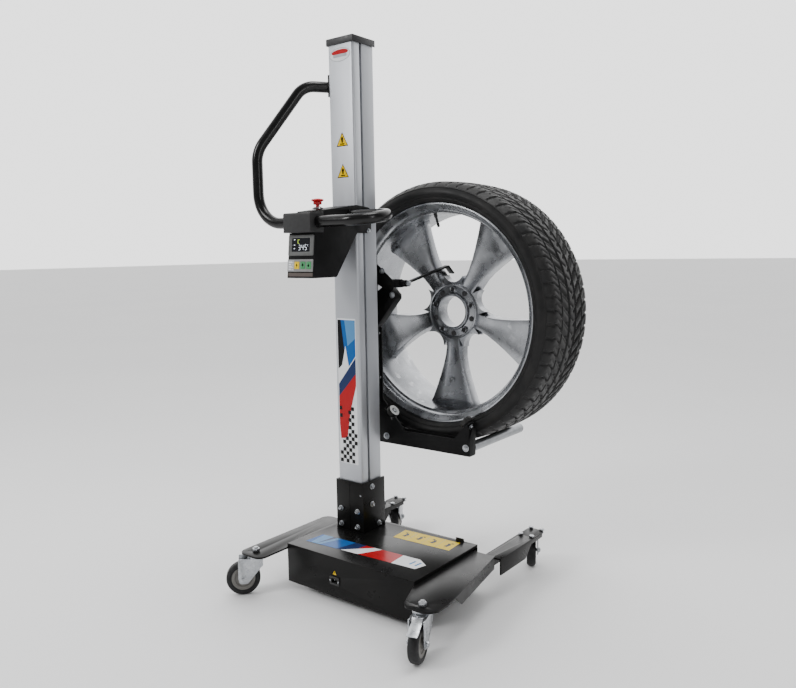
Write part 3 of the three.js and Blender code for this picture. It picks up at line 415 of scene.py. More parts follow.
def soften(bm, edges, width, segments=2):
    bmesh.ops.bevel(bm, geom=list(edges), offset=width * MM, offset_type="OFFSET", affect="EDGES",
                    segments=segments, profile=0.5, clamp_overlap=True, material=-1)


def sharp_edges(bm, over):
    return [e for e in bm.edges if len(e.link_faces) == 2 and e.calc_face_angle(0) > math.radians(over)]


def rounded_node(node, material, width=0.8, name=None, segments=2):
    """A CAD node shown again with its sharp edges rounded."""
    bm = clean_copy(node)
    soften(bm, sharp_edges(bm, 38), width, segments)
    thing = finish_piece(name or node + "_shell", bm, material, BODY_OF[node])
    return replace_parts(thing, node)


def facing(normal, up_hint=UP):
    """A rotation whose Z is the normal and whose Y leans to the hint."""
    z = Vector(normal).normalized()
    hint = Vector(up_hint)
    if abs(z.dot(hint)) > 0.98:
        hint = AWAY
    x = hint.cross(z).normalized()
    return Matrix((x, z.cross(x), z)).transposed().to_4x4()


def place(point, normal, up_hint=UP):
    return Matrix.Translation(point) @ facing(normal, up_hint)


def add_drum(bm, matrix, radius, z0, z1, sides=24, top=None, edge=0.0):
    """A closed drum along the matrix's Z, from z0 to z1 (mm), with a rounded rim."""
    made = bmesh.ops.create_cone(
        bm, cap_ends=True, segments=sides, radius1=radius * MM, radius2=(top or radius) * MM,
        depth=(z1 - z0) * MM, matrix=matrix @ Matrix.Translation((0, 0, (z0 + z1) / 2 * MM)),
    )
    if edge:
        soften(bm, {e for v in made["verts"] for e in v.link_edges if e.calc_face_angle(0) > 1.0}, edge)
    return made


def add_brick(bm, matrix, x0, x1, y0, y1, z0, z1, edge=0.0):
    size = Matrix.Diagonal(((x1 - x0) * MM, (y1 - y0) * MM, (z1 - z0) * MM, 1))
    centre = Matrix.Translation(Vector(((x0 + x1) / 2, (y0 + y1) / 2, (z0 + z1) / 2)) * MM)
    made = bmesh.ops.create_cube(bm, size=1, matrix=matrix @ centre @ size)
    if edge:
        soften(bm, {e for v in made["verts"] for e in v.link_edges}, edge)


def add_socket_screw(bm, point, normal, head=6.5, height=6.0):
    """A cap screw with a hexagon socket, standing on a surface."""
    matrix = place(point, normal)
    made = add_drum(bm, matrix, head, 0, height)
    axis = matrix.to_3x3() @ UP
    faces = {f for v in made["verts"] for f in v.link_faces}
    lid = max(faces, key=lambda f: f.calc_center_median().dot(axis))
    rims = list(lid.edges)
    bmesh.ops.inset_individual(bm, faces=[lid], thickness=head * 0.46 * MM)
    for vert in lid.verts:
        vert.co -= axis * height * 0.5 * MM
    soften(bm, rims, 0.8)


def add_hex_bolt(bm, point, normal, across=13.0, height=6.0, washer=True):
    matrix = place(point, normal)
    base = 0.0
    if washer:
        add_drum(bm, matrix, across * 0.8, 0, 1.4, 24, edge=0.3)
        base = 1.3
    add_drum(bm, matrix, across / math.sqrt(3), base, base + height, 6, edge=0.7)
    add_drum(bm, matrix, across * 0.3, base + height - 0.5, base + height + 1.6, 16, edge=0.5)


def add_lathe(bm, matrix, profile, steps=64, closed=False):
    """Spins a profile of (radius, height) in mm about the matrix's Z. Open profiles end on the axis."""
    verts = [bm.verts.new(matrix @ Vector((r * MM, 0, h * MM))) for r, h in profile]
    pairs = list(zip(verts, verts[1:]))
    if closed:
        pairs.append((verts[-1], verts[0]))
    edges = [bm.edges.new(pair) for pair in pairs]
    axis = (matrix.to_3x3() @ UP).normalized()
    bmesh.ops.spin(bm, geom=verts + edges, cent=matrix.translation, axis=axis,
                   angle=2 * math.pi, steps=steps, use_merge=True, use_duplicate=False)


def lathe_piece(name, matrix, profile, steps, material, body, closed=False, smooth_below=28, node=""):
    """A turned piece, which stands in for a CAD node if one is named."""
    bm = bmesh.new()
    add_lathe(bm, matrix, profile, steps, closed)
    thing = finish_piece(name, bm, material, body, smooth_below, turn_out=True)
    if node:
        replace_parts(thing, node)


def along_y(point):
    """A frame at the point whose Z runs along +Y."""
    return Matrix.Translation(point) @ Matrix.Rotation(-math.pi / 2, 4, "X")


def round_corners(corners, steps=10):
    """Points along straight runs joined by circular bends: [(point, bend radius), ...] in metres."""
    path = [Vector(corners[0][0])]
    for (before, _), (here, radius), (after, _) in zip(corners, corners[1:], corners[2:]):
        back, onward = (before - here).normalized(), (after - here).normalized()
        half = back.angle(onward) / 2
        reach = radius / math.tan(half)
        centre = here + (back + onward).normalized() * (radius / math.sin(half))
        start = here + back * reach - centre
        end = here + onward * reach - centre
        turn = start.angle(end)
        axis = start.cross(end).normalized()
        path += [centre + Matrix.Rotation(turn * i / steps, 3, axis) @ start for i in range(steps + 1)]
    path.append(Vector(corners[-1][0]))
    return path


def add_tube(bm, path, radius, sides=24):
    """A closed round bar along the path."""
    tangent = (path[1] - path[0]).normalized()
    turn = facing(tangent).to_3x3()
    here = path[0]
    ring = bmesh.ops.create_circle(bm, cap_ends=True, segments=sides, radius=radius * MM,
                                   matrix=Matrix.Translation(here) @ turn.to_4x4())["verts"]
    face = next(f for f in ring[0].link_faces)
    edges = list(face.edges)
    for i, point in enumerate(path[1:], 1):
        ahead = path[i + 1] - point if i + 1 < len(path) else point - path[i - 1]
        behind = point - path[i - 1]
        bisector = (ahead.normalized() + behind.normalized()).normalized()
        bend = tangent.rotation_difference(bisector).to_matrix()
        grown = bmesh.ops.extrude_edge_only(bm, edges=edges)["geom"]
        verts = [g for g in grown if isinstance(g, bmesh.types.BMVert)]
        edges = [g for g in grown if isinstance(g, bmesh.types.BMEdge)
                 and all(v in verts for v in g.verts)]
        for vert in verts:
            vert.co = point + bend @ (vert.co - here)
        tangent, here = bisector, point
    bmesh.ops.contextual_create(bm, geom=edges)


def film(name, matrix, outline, material, slot, lift=0.0, thickness=0.25, body="base"):
    """A printed film: an outline in mm on the matrix's XY plane, lifted off it by lift."""
    bm = bmesh.new()
    normal = (matrix.to_3x3() @ UP) * MM
    verts = [bm.verts.new(matrix @ (Vector((x, y, 0)) * MM) + normal * lift) for x, y in outline]
    face = bmesh.ops.contextual_create(bm, geom=verts)["faces"][0]
    grown = bmesh.ops.extrude_face_region(bm, geom=[face])["geom"]
    for vert in (g for g in grown if isinstance(g, bmesh.types.BMVert)):
        vert.co += normal * thickness
    finish_piece(name, bm, material, body, turn_out=True)


def ellipse(rx, ry, steps=40, cx=0, cy=0):
    return [(cx + rx * math.cos(2 * math.pi * i / steps), cy + ry * math.sin(2 * math.pi * i / steps))
            for i in range(steps)]


def rounded_rect(x0, x1, y0, y1, radius, steps=5):
    corners = ((x1 - radius, y1 - radius, 0), (x0 + radius, y1 - radius, 90),
               (x0 + radius, y0 + radius, 180), (x1 - radius, y0 + radius, 270))
    return [(x + radius * math.cos(math.radians(a + 90 * i / steps)),
             y + radius * math.sin(math.radians(a + 90 * i / steps)))
            for x, y, a in corners for i in range(steps + 1)]


# ------------------------------------------------------------------ base, arms and box
BOX_TOP = 126.4
INLET_X, INLET_Z = 99, 61.6


def make_base():
    for node in ("left_arm_plate", "right_arm_plate", "deck_plate", "rear_arm_left", "rear_arm_right"):
        rounded_node(node, GLOSS_BLACK, 0.9)
    for node, width in (("base_cover", 0.8), ("battery_tray", 0.6), ("sleeve_bracket", 1.2)):
        rounded_node(node, GLOSS_BLACK, width)
    for node, case in (("battery_1", BATTERY), ("battery_2", BATTERY), ("charger_module", MODULE)):
        rounded_node(node, case, 1.5)


def make_sleeve_screws():
    bm = bmesh.new()
    front, right = -49.9, 51.6
    for x, z in ((-33, 187), (30, 187), (-32, 141), (30, 141)):
        add_drum(bm, place(at(x, front, z), -AWAY), 8.2, 0, 1.4, 24, edge=0.3)
        add_socket_screw(bm, at(x, front - 1.3, z), -AWAY, 5.6, 6.5)
    for y, z in ((-10.5, 256.5), (-11, 204), (19, 139)):
        for side in (1, -1):
            add_drum(bm, place(at(side * right, y, z), ALONG * side), 8.2, 0, 1.4, 24, edge=0.3)
            add_socket_screw(bm, at(side * (right + 1.3), y, z), ALONG * side, 5.6, 6.0)
    add_drum(bm, place(at(42, front, 236), -AWAY), 2.6, -0.5, 0.8, 16, edge=0.3)
    finish_piece("sleeve_screws", bm, ZINC, "base")
    seam = bmesh.new()
    add_brick(seam, place(at(0, front, 0), -AWAY), -0.5, 0.5, 119, 270, -0.2, 0.25, 0.1)
    finish_piece("sleeve_seam", seam, INK, "base")


def make_inlet():
    rounded_node("power_inlet", INLET, 0.6)
    bm = bmesh.new()
    face = place(at(INLET_X, -216.6, INLET_Z), -AWAY)
    for dx, dz in ((-5, -1), (5, -1), (0, 2)):
        add_brick(bm, face, dx - 0.9, dx + 0.9, dz - 2, dz + 2, -0.5, 9, 0.3)
    for side in (-14.5, 14.5):
        add_socket_screw(bm, at(INLET_X + side, -232.3, INLET_Z), -AWAY, 2.5, 1.4)
    finish_piece("inlet_pins_and_screws", bm, ZINC, "base")
    warning_triangle("inlet_warning", place(at(INLET_X, -229.9, 84), -AWAY), 7.5, False)


def warning_triangle(name, matrix, size, tall=True):
    """A yellow triangle with a black border and a plain black figure."""
    height = size * 1.8

    def ring(scale, low):
        return [(-size * scale, low), (size * scale, low), (0, low + height * scale)]

    film(name + "_border", matrix, ring(1.0, -height * 0.45), INK, "cap_plastic", 0.0, 0.15)
    film(name + "_field", matrix, ring(0.84, -height * 0.39), YELLOW, "yellow_key", 0.15, 0.12)
    figure = [(-size * 0.1, -height * 0.2), (size * 0.1, -height * 0.2), (size * 0.2, height * 0.12),
              (0, height * 0.26), (-size * 0.2, height * 0.12)]
    film(name + "_figure", matrix, figure, INK, "cap_plastic", 0.27, 0.1)
    if tall:
        foot = rounded_rect(-size * 0.38, size * 0.38, -height * 0.33, -height * 0.25, size * 0.05)
        film(name + "_foot", matrix, foot, INK, "cap_plastic", 0.27, 0.1)


def blended(share, a, b):
    return (a[0] + (b[0] - a[0]) * share, a[1] + (b[1] - a[1]) * share)


def make_cover_labels():
    top = place(at(0, 0, BOX_TOP + 0.05), UP, AWAY)
    a, b = (-48, -186), (-41, -123)
    c, tip, d = (295, -110), (328.5, -131.5), (318, -166)

    def near(share):
        return blended(share, a, d)

    def far(share):
        return blended(share, b, c)

    layers = (
        ("blue", [a, b, far(0.36), near(0.3)], BLUE, 0, 0.15),
        ("night", [near(0.3), far(0.36), far(0.47), near(0.42)], NIGHT, 0, 0.15),
        ("red", [near(0.42), far(0.47), far(0.84), near(0.8)], RED, 0, 0.15),
        ("white", [near(0.8), far(0.84), c, tip, d], WHITE, 0, 0.15),
        ("sky", [near(0.05), near(0.14), far(0.2), far(0.02)], SKY, 0.15, 0.1),
        ("flash", [near(0.34), far(0.56), far(0.63), near(0.5)], WHITE, 0.15, 0.1),
        ("facet", [near(0.1), far(0.12), far(0.16)], NIGHT, 0.26, 0.1),
    )
    for name, points, ink, lift, thickness in layers:
        film("cover_strip_" + name, top, points, ink, "bezel_plastic", lift, thickness)
    for i in range(2):
        x = 286 + 18 * i
        bar = [(x, -150), (x + 6, -150), (x + 9, -126), (x + 3, -126)]
        film(f"cover_strip_bar_{i + 1}", top, bar, SKY, "bezel_plastic", 0.15, 0.1)

    p, q, r, s = (133, 42), (136.5, -22), (322, -15), (318, 48)
    film("guide_label", top, [p, q, r, s], LABEL_YELLOW, "yellow_key", 0.0, 0.15)
    for i in range(1, 4):
        share = i / 4
        low, high = blended(share, q, r), blended(share, p, s)
        line = [(low[0] - 0.5, low[1] + 3), (low[0] + 0.5, low[1] + 3),
                (high[0] + 0.5, high[1] - 3), (high[0] - 0.5, high[1] - 3)]
        film(f"guide_label_rule_{i}", top, line, GREY_PRINT, "cap_plastic", 0.15, 0.08)
    for i in range(4):
        x = 136 + 46.5 * (i + 0.5)
        y = 12 + 1.5 * i
        hand = [(x - 7, y - 12), (x + 4, y - 14), (x + 7, y + 2), (x + 1, y + 12), (x - 5, y + 9),
                (x - 3, y - 1)]
        film(f"guide_label_hand_{i + 1}", top, hand, INK, "cap_plastic", 0.15, 0.1)
        film(f"guide_label_part_{i + 1}", top, ellipse(4.2, 3.2, 20, x + (6 if i % 2 else -8), y + 13), INK,
             "cap_plastic", 0.15, 0.1)


# ------------------------------------------------------------------ mast and its stickers
MAST_FACE = -45.05


def make_mast():
    rounded_node("mast", ANODISED, 0.5)
    rounded_node("mast_cap", CAP, 1.2)
    front = place(at(0, MAST_FACE, 0), -AWAY)
    badge = front @ Matrix.Translation((0, 1467 * MM, 0))
    film("badge_edge", badge, ellipse(37, 18), GREY_PRINT, "bezel_plastic", 0.0, 0.15)
    film("badge_field", badge, ellipse(35, 16.4), WHITE, "bezel_plastic", 0.15, 0.12)
    film("badge_arc", badge, ellipse(30, 7.5, 40, 0, 6), RED, "red_plastic", 0.27, 0.1)
    film("badge_band", badge, rounded_rect(-24, 24, -6.5, 1.5, 3), GREY_PRINT, "bezel_plastic", 0.38, 0.1)
    for i, z in enumerate((1240, 1155)):
        warning_triangle(f"mast_warning_{i + 1}", front @ Matrix.Translation((1 * MM, z * MM, 0)), 21)


def make_mast_decal():
    front = place(at(0, MAST_FACE, 0), -AWAY)
    low, high, left, right = 324, 746, -36, 33
    film("decal_ground", front, rounded_rect(left, right, low, high, 3), WHITE, "bezel_plastic", 0, 0.12)
    shapes = (
        ("blue", [(left + 2, 742), (right - 2, 742), (right - 2, 640), (left + 2, 560)], BLUE),
        ("sky", [(-8, 742), (right - 2, 742), (right - 2, 690), (2, 668)], SKY),
        ("night", [(left + 2, 742), (-22, 742), (-8, 640), (-22, 590), (left + 2, 600)], INK),
        ("flash", [(left + 2, 600), (-20, 612), (-6, 668), (6, 604), (left + 2, 560)], WHITE),
        ("streak", [(left + 2, 556), (right - 2, 636), (right - 2, 560), (left + 2, 500)], NIGHT),
        ("red_streak", [(left + 2, 520), (right - 2, 590), (right - 2, 555), (8, 480), (-6, 400),
                        (left + 6, 396), (left + 2, 440)], RED),
    )
    for i, (name, points, ink) in enumerate(shapes):
        film("decal_" + name, front, points, ink, "bezel_plastic", 0.12 + 0.06 * i, 0.1)
    squares = bmesh.new()
    cell, rows, columns = 11.0, 15, 6
    for row in range(rows):
        for column in range(columns):
            if (row + column) % 2:
                continue
            x = left + 2 + column * cell + 0.6 * math.sin(row * 0.7)
            z = low + 3 + row * cell
            if x + cell > right - 1 or (x < -2 and z > 430 + 2 * x and z < 520 + 2 * x):
                continue
            add_brick(squares, front, x, x + cell, z, z + cell, 0.5, 0.62)
    finish_piece("decal_chequer", squares, INK, "base")


# ------------------------------------------------------------------ lift drive
def make_drive():
    for node in ("drive_pulley", "idler_pulley", "gear_motor"):
        rounded_node(node, STEEL, 0.5)
    rounded_node("lift_belt", BELT, 0.3)


# ------------------------------------------------------------------ control head
HEAD_FOOT = (-224.0, 867.0)
LEAN = math.atan2(12.5, 118.0)


def face_frame(out=0.0):
    """Frame on the leaning panel, out (mm) in front of it: X to the right, Y up the panel, Z out."""
    point = at(0, *HEAD_FOOT)
    up_panel = Vector((0, math.sin(LEAN), math.cos(LEAN)))
    normal = ALONG.cross(up_panel)
    turn = Matrix((ALONG, up_panel, normal)).transposed().to_4x4()
    return Matrix.Translation(point) @ turn @ Matrix.Translation((0, 0, out * MM))


SEGMENTS = {"3": "abgcd", "4": "fgbc", "5": "afgcd"}


def add_digit(bm, matrix, x, y, width, height, segments):
    """Seven-segment digit with its lower left corner at (x, y)."""
    t = 0.75
    half = height / 2
    bars = {
        "a": (x + t, x + width - t, y + height - t, y + height),
        "g": (x + t, x + width - t, y + half - t / 2, y + half + t / 2),
        "d": (x + t, x + width - t, y, y + t),
        "f": (x, x + t, y + half, y + height - 0.4),
        "b": (x + width - t, x + width, y + half, y + height - 0.4),
        "e": (x, x + t, y + 0.4, y + half),
        "c": (x + width - t, x + width, y + 0.4, y + half),
    }
    for key in segments:
        x0, x1, y0, y1 = bars[key]
        add_brick(bm, matrix, x0, x1, y0, y1, 0, 0.2)


def make_head():
    rounded_node("head_housing", SATIN_BLACK, 1.2)
    rounded_node("grip_collar", COLLAR_BLACK, 3.0, segments=3)
    rounded_node("display_unit", BEZEL, 1.0)
    rounded_node("keypad_panel", FACE_GREY, 0.6)
    window = rounded_rect(-32.8, 32.8, 69.2, 104.8, 1.8)
    film("display_window", face_frame(2.05), window, GLASS, "inlet_plastic", 0, 0.4)
    lit = face_frame(2.4)
    digits = bmesh.new()
    for i, digit in enumerate("345"):
        add_digit(digits, lit, -9 + 11.5 * i, 73.5, 6.6, 14, SEGMENTS[digit])
    for i in range(2):
        add_brick(digits, lit, 23.4, 25.4, 84 + 2.6 * i, 84.8 + 2.6 * i, 0, 0.2)
    for y in (100, 86, 77):
        add_brick(digits, lit, -26, -22, y, y + 1.6, 0, 0.2)
    finish_piece("display_digits", digits, DIGITS, "base")
    mark = bmesh.new()
    add_digit(mark, lit, -12, 91, 6.5, 10, "afed")
    finish_piece("display_mark", mark, MARK_GREEN, "base")
    legend = face_frame(3.45)
    ground = rounded_rect(-44, -21.5, 19, 47, 1.5)
    film("keypad_legend_ground", legend, ground, GREY_PRINT, "bezel_plastic", 0, 0.1)
    bars = bmesh.new()
    for i in range(4):
        y = 21.5 + 6.2 * i
        add_brick(bars, legend, -41, -33 + 3 * (i % 2), y, y + 3.4, 0.1, 0.2)
        add_brick(bars, legend, -30, -24, y, y + 1.2, 0.1, 0.2)
    finish_piece("keypad_legend_bars", bars, WHITE, "base")
    strip = rounded_rect(-44.5, 44.5, 4.5, 14, 1.2)
    film("keypad_lower_strip", face_frame(0.1), strip, STRIP, "bezel_plastic", 0, 0.6)


def make_keys():
    face = face_frame(4.65)
    keys = {"key_yellow": (-11, KEY_YELLOW), "key_down": (11, GREEN), "key_up": (32, GREEN)}
    for node, (x, film_paint) in keys.items():
        rounded_node(node, film_paint, 0.5)
        y = 33.5
        if node == "key_yellow":
            mark = [(x + 1, y + 6), (x - 4, y - 1), (x - 0.5, y - 1), (x - 1.5, y - 7), (x + 4, y + 1),
                    (x + 0.8, y + 1)]
        else:
            turn = 1 if node == "key_up" else -1
            mark = [(x - 1.3, y - 5 * turn), (x + 1.3, y - 5 * turn), (x + 1.3, y + turn), (x + 4, y + turn),
                    (x, y + 6 * turn), (x - 4, y + turn), (x - 1.3, y + turn)]
        film(node + "_mark", face, mark, INK, "cap_plastic", 0, 0.1, node)


def make_stop_knob():
    low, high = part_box("stop_collar")
    axis = (low + high) / 2
    base = Matrix.Translation(Vector((axis.x, axis.y, low.z + 10 * MM)))
    collar = [(5.4, 2), (13.5, 2), (15.2, 3.2), (15.2, 5), (13.6, 6.2), (12.4, 6.6), (12.2, 7.1),
              (11, 7.8), (9.5, 8.2), (5.4, 8.2)]
    lathe_piece("stop_collar_ring", base, collar, 48, CHROME, "base", True, node="stop_collar")
    knob = [(0, -7), (5, -7), (5, 12.5), (9.5, 13.5), (10.5, 15.5), (10.2, 19), (12.5, 22), (16.2, 23.5),
            (17, 25.2), (16.4, 27), (13, 28.6), (6, 29.7), (0, 30)]
    lathe_piece("stop_mushroom", base, knob, 48, RED_KNOB, "stop_knob", node="stop_knob")
    ribs = bmesh.new()
    for i in range(16):
        turn = Matrix.Rotation(2 * math.pi * i / 16, 4, "Z")
        add_brick(ribs, base @ turn, 9.6, 11.4, -0.9, 0.9, 14, 20.5, 0.3)
    finish_piece("stop_mushroom_ribs", ribs, RED_KNOB, "stop_knob")


def make_head_bolts():
    bm = bmesh.new()
    for side in (1, -1):
        for y, z in ((12, 1044), (4, 991)):
            matrix = place(at(side * 48.0, y, z), ALONG * side)
            add_drum(bm, matrix, 7.4, 0, 1.2, 24, edge=0.3)
            add_socket_screw(bm, matrix @ Vector((0, 0, 1.1 * MM)), ALONG * side, 5.4, 3.6)
    finish_piece("head_bolts", bm, ZINC, "base")


# ------------------------------------------------------------------ handles
GRIP_Y, GRIP_Z = -200.0, 1013.0
HANDLE_RADIUS = 15


def make_handles():
    flange, root_y, root_z, outside = -49.4, -13, 1391, -174.5
    knee = (flange + 0.4 * (outside - flange), root_y + 0.4 * (GRIP_Y - root_y), root_z)
    path = round_corners([
        (at(flange - 0.4, root_y, root_z), 0),
        (at(*knee), 0.060),
        (at(outside, GRIP_Y, 1210), 0.090),
        (at(outside, GRIP_Y, GRIP_Z), 0.085),
        (at(-1.5, GRIP_Y, GRIP_Z), 0),
    ], 12)
    bm = bmesh.new()
    add_tube(bm, path, HANDLE_RADIUS, 28)
    root = place(at(flange, root_y, root_z), -ALONG)
    add_brick(bm, root, -30, 30, -30, 30, -4, 0, 1.0)
    add_lathe(bm, root, [(0, -1), (18.5, -1), (18.5, 0.5), (16, 3), (15, 4), (0, 4)], 28)
    tube = finish_piece("side_handle_tube", bm, HANDLE_BLACK, "base", turn_out=True)
    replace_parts(tube, "side_handle")
    screws = bmesh.new()
    for dy in (-22, 22):
        for dz in (-22, 22):
            add_socket_screw(screws, at(flange, root_y + dy, root_z + dz), -ALONG, 4.6, 3.2)
    finish_piece("side_handle_screws", screws, ZINC, "base")

    tilt, radius, reach, end = math.radians(8), 65, 142, 45.8

    def local(x, along):
        return at(x, GRIP_Y + along * math.cos(tilt), GRIP_Z + along * math.sin(tilt))

    arc = [local(reach + radius * math.cos(a), radius * (1 + math.sin(a)))
           for a in (math.radians(-90 + 180 * i / 24) for i in range(25))]
    loop = [local(1.5, 0), local(60, 0)] + arc + [local(90, 2 * radius), local(end, 2 * radius)]
    bm = bmesh.new()
    add_tube(bm, loop, HANDLE_RADIUS, 28)
    grip = finish_piece("grip_loop_tube", bm, HANDLE_BLACK, "base", turn_out=True)
    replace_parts(grip, "grip_loop")


# ------------------------------------------------------------------ carriage, fork and rollers
ROLLER_Z = 383.0


def make_carriage():
    for node in ("carriage_slide", "fork_plate", "clamp_bracket"):
        rounded_node(node, SATIN_BLACK, 0.8)
    rounded_node("retaining_hook", SATIN_BLACK, 0.6)
    rounded_node("hook_pin", ZINC, 0.6)
    bm = bmesh.new()
    for x, z in ((-13, 643), (-13, 493), (7, 560), (7, 693)):
        add_socket_screw(bm, at(x, 91.6, z), -AWAY, 6.0, 5.0)
    bolts = ((310, 91.6, 385, 13, 5.5), (30, 91.6, 383, 13, 5.5),
             (54, 98.5, 806, 12, 5), (18, 98.5, 876, 12, 5))
    for x, y, z, across, height in bolts:
        add_hex_bolt(bm, at(x, y, z), -AWAY, across, height)
    finish_piece("carriage_bolts", bm, ZINC, "carriage")


def make_rollers():
    for node, x in (("roller_left", 30), ("roller_right", 310)):
        low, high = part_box(node)
        start = (low.y - MAST.y) / MM
        length = (high.y - low.y) / MM
        base = along_y(at(x, start, ROLLER_Z))
        tube = [(8.5, 0.5), (11.5, 0), (13.2, 0.3), (14, 1.3), (14, length - 1.3), (13.2, length - 0.3),
                (11.5, length), (8.5, length - 0.5)]
        lathe_piece(node + "_tube", base, tube, 40, ROLLER, node, True, node=node)
        inset = length - 5.5
        cap = [(0, inset + 1.3), (6.5, inset + 1.3), (7.6, inset + 2.5), (7.6, inset), (0, inset)]
        lathe_piece(node + "_axle_end", base, cap, 32, ZINC, "carriage")


def make_guide_rollers():
    lean = math.radians(50)
    for node, side in (("guide_roller_left", -1), ("guide_roller_right", 1)):
        centre = at(170 + side * 130, 91.7 + 19.5, ROLLER_Z + 72)
        axis = Vector((-side * math.sin(lean), 0, math.cos(lean)))
        base = place(centre, axis, AWAY)
        face_edge = 17.4 if side < 0 else 12.5
        rubber = [(face_edge, -7.6), (face_edge + 0.6, -7.9), (18.2, -6.8), (19, -5), (19, 5), (18.2, 6.8),
                  (face_edge + 0.6, 7.9), (face_edge, 7.6)]
        lathe_piece(node + "_rubber", base, rubber, 40, GUIDE, node, True, node=node)
        hub = [(4.6, -7), (face_edge - 0.1, -7), (face_edge - 0.1, 7.2), (face_edge - 1, 8.3), (9, 8.3),
               (8.2, 7.4), (8, 4), (4.6, 4)]
        # The left roller's hub is painted pale and the right one's identical hub stays black: lit and shaded
        # copies of one part, painted light.
        painted_light_look = LIT_PALE_RING if side < 0 else GUIDE
        lathe_piece(node + "_hub", base, hub, 40, painted_light_look, node, True)
        # A thin dark ring in the hub's recess: painted shade of the hollow.
        well_shade = [(4.4, 4.2), (7.9, 4.2), (7.9, 4.9), (4.4, 4.9)]
        lathe_piece(node + "_well_painted_shade", base, well_shade, 32, CASTING_SHADE, node, True)
        bolt = bmesh.new()
        add_drum(bolt, base, 4.2, 4, 6.6, 20, edge=0.4)
        add_socket_screw(bolt, base @ Vector((0, 0, 6.5 * MM)), axis, 5.0, 3.0)
        add_hex_bolt(bolt, base @ Vector((0, 0, -17.2 * MM)), -axis, 11, 4.5)
        finish_piece(node + "_bolt", bolt, ZINC, "carriage")


# ------------------------------------------------------------------ wheel
RIM_FRONT = 147.0
BARREL_INSIDE = 289.2
TREAD_PITCHES = 64


def groove_depth(turn, across):
    """Depth in mm of the tread's cuts at a share of a turn and a place across the tread in mm."""
    side = 1 if across > 0 else -1
    wide = abs(across)
    lean = turn * TREAD_PITCHES + 0.5 * (side < 0)
    if 88 < wide < 104:
        lean += (wide - 88) * 0.006
    elif wide <= 88:
        lean += (88 - wide) * 0.021
    phase = lean % 1.0
    fine = (lean * 2 + 0.5) % 1.0
    deep = 0.0
    if abs(wide - 60) < 3.6 or abs(wide - 20) < 3.8:
        deep = 6.0
    for inner, outer, share, cut in ((64, 116, 0.17, 5.0), (24, 57, 0.22, 4.6), (-1, 17, 0.16, 3.6)):
        if inner < wide < outer and phase < share:
            deep = max(deep, cut)
    if 70 < wide < 98 and 0.52 < phase < 0.6:
        deep = max(deep, 2.4)
    if 28 < wide < 54 and fine < 0.12:
        deep = max(deep, 2.2)
    return deep


def make_tyre():
    centre = Vector((WHEEL.x, at(0, 256, 0).y, WHEEL.z))
    base = along_y(centre)
    side = [(306.5, -96.4), (317.5, -102.5), (319.5, -112), (322, -118), (328, -122), (331, -121.8),
            (333, -124), (338, -127.2), (345, -127.6), (352, -125.5), (358, -121.8), (360, -122.2),
            (361.6, -120.4)]
    mirrored = [(r, -y) for r, y in reversed(side)]
    inner = [(306.5, 96.4), (321, 94), (345, 92), (355, 60), (357, 0), (355, -60), (345, -92), (321, -94)]
    crown = [(360.8, 119), (352, 96), (352, -96), (360.8, -119)]
    profile = side + crown[::-1] + mirrored + inner[1:]
    lathe_piece("tyre_carcass", base, profile, 128, TYRE, "wheel", True, 32, "tyre")

    stations = []
    for i in range(57):
        across = -119.5 + 239 * i / 56
        wide = abs(across) / 119.5
        radius = 380 - 2.6 * (wide / 0.72) ** 2 if wide < 0.72 else 377.4 - 15.6 * ((wide - 0.72) / 0.28) ** 1.9
        stations.append((radius, across))
    under = [(354, 112), (354, -112)]
    bm = bmesh.new()
    steps = 768
    add_lathe(bm, base, stations + under, steps, closed=True)
    bmesh.ops.remove_doubles(bm, verts=bm.verts, dist=1e-6)
    for vert in bm.verts:
        flat = Vector((vert.co.x - centre.x, 0, vert.co.z - centre.z))
        across = (vert.co.y - centre.y) / MM
        if flat.length < 359 * MM or abs(across) > 117:
            continue
        turn = (math.atan2(flat.z, flat.x) / (2 * math.pi)) % 1.0
        deep = groove_depth(turn, across)
        if abs(across) > 96:
            deep *= 0.75
        vert.co -= flat.normalized() * deep * MM
    finish_piece("tyre_tread_band", bm, TYRE, "wheel", 40, turn_out=True)


def make_rim():
    centre = Vector((WHEEL.x, at(0, RIM_FRONT, 0).y, WHEEL.z))
    base = along_y(centre)
    profile = [(317, 0.6), (317, 5.4), (305.5, 12.6), (304.2, 40), (295.5, 60), (300, 178), (304.5, 206),
               (316.6, 212.4), (317, 217), (314, 218), (300, 213.5), (292, 196), (288.5, 168), (288.2, 62),
               (290.4, 56), (290.6, 34), (296, 30), (298, 14), (302.5, 8), (309, 4.5), (313.5, 0.2)]
    lathe_piece("rim_barrel", base, profile, 144, ALLOY, "wheel", True, 40, "rim")
    face = 239 - RIM_FRONT
    hub = [(45, face + 6), (46.5, face + 1), (49, face), (54, face + 0.6), (56, face + 9), (75, face + 11),
           (78, face + 2), (80.5, face + 0.8), (83, face + 3), (84, face + 12), (84, face + 40),
           (80, face + 46), (50, face + 46), (45, face + 43)]
    lathe_piece("rim_hub", base, hub, 96, ALLOY, "wheel", True, 35)
    make_lugs(base, face)
    make_spokes(centre, face)
    spot = base @ Matrix.Rotation(math.radians(-94), 4, "Z") @ Matrix.Translation((286 * MM, 0, 40 * MM))
    inward = spot @ Matrix.Rotation(math.radians(-70), 4, "Y")
    stem = [(0, -4), (5.5, -4), (5, 6), (3.6, 9), (3.6, 26), (4.2, 27), (4.2, 36), (3.4, 37.5), (0, 37.5)]
    lathe_piece("tyre_valve", inward, stem, 20, TREAD, "wheel")


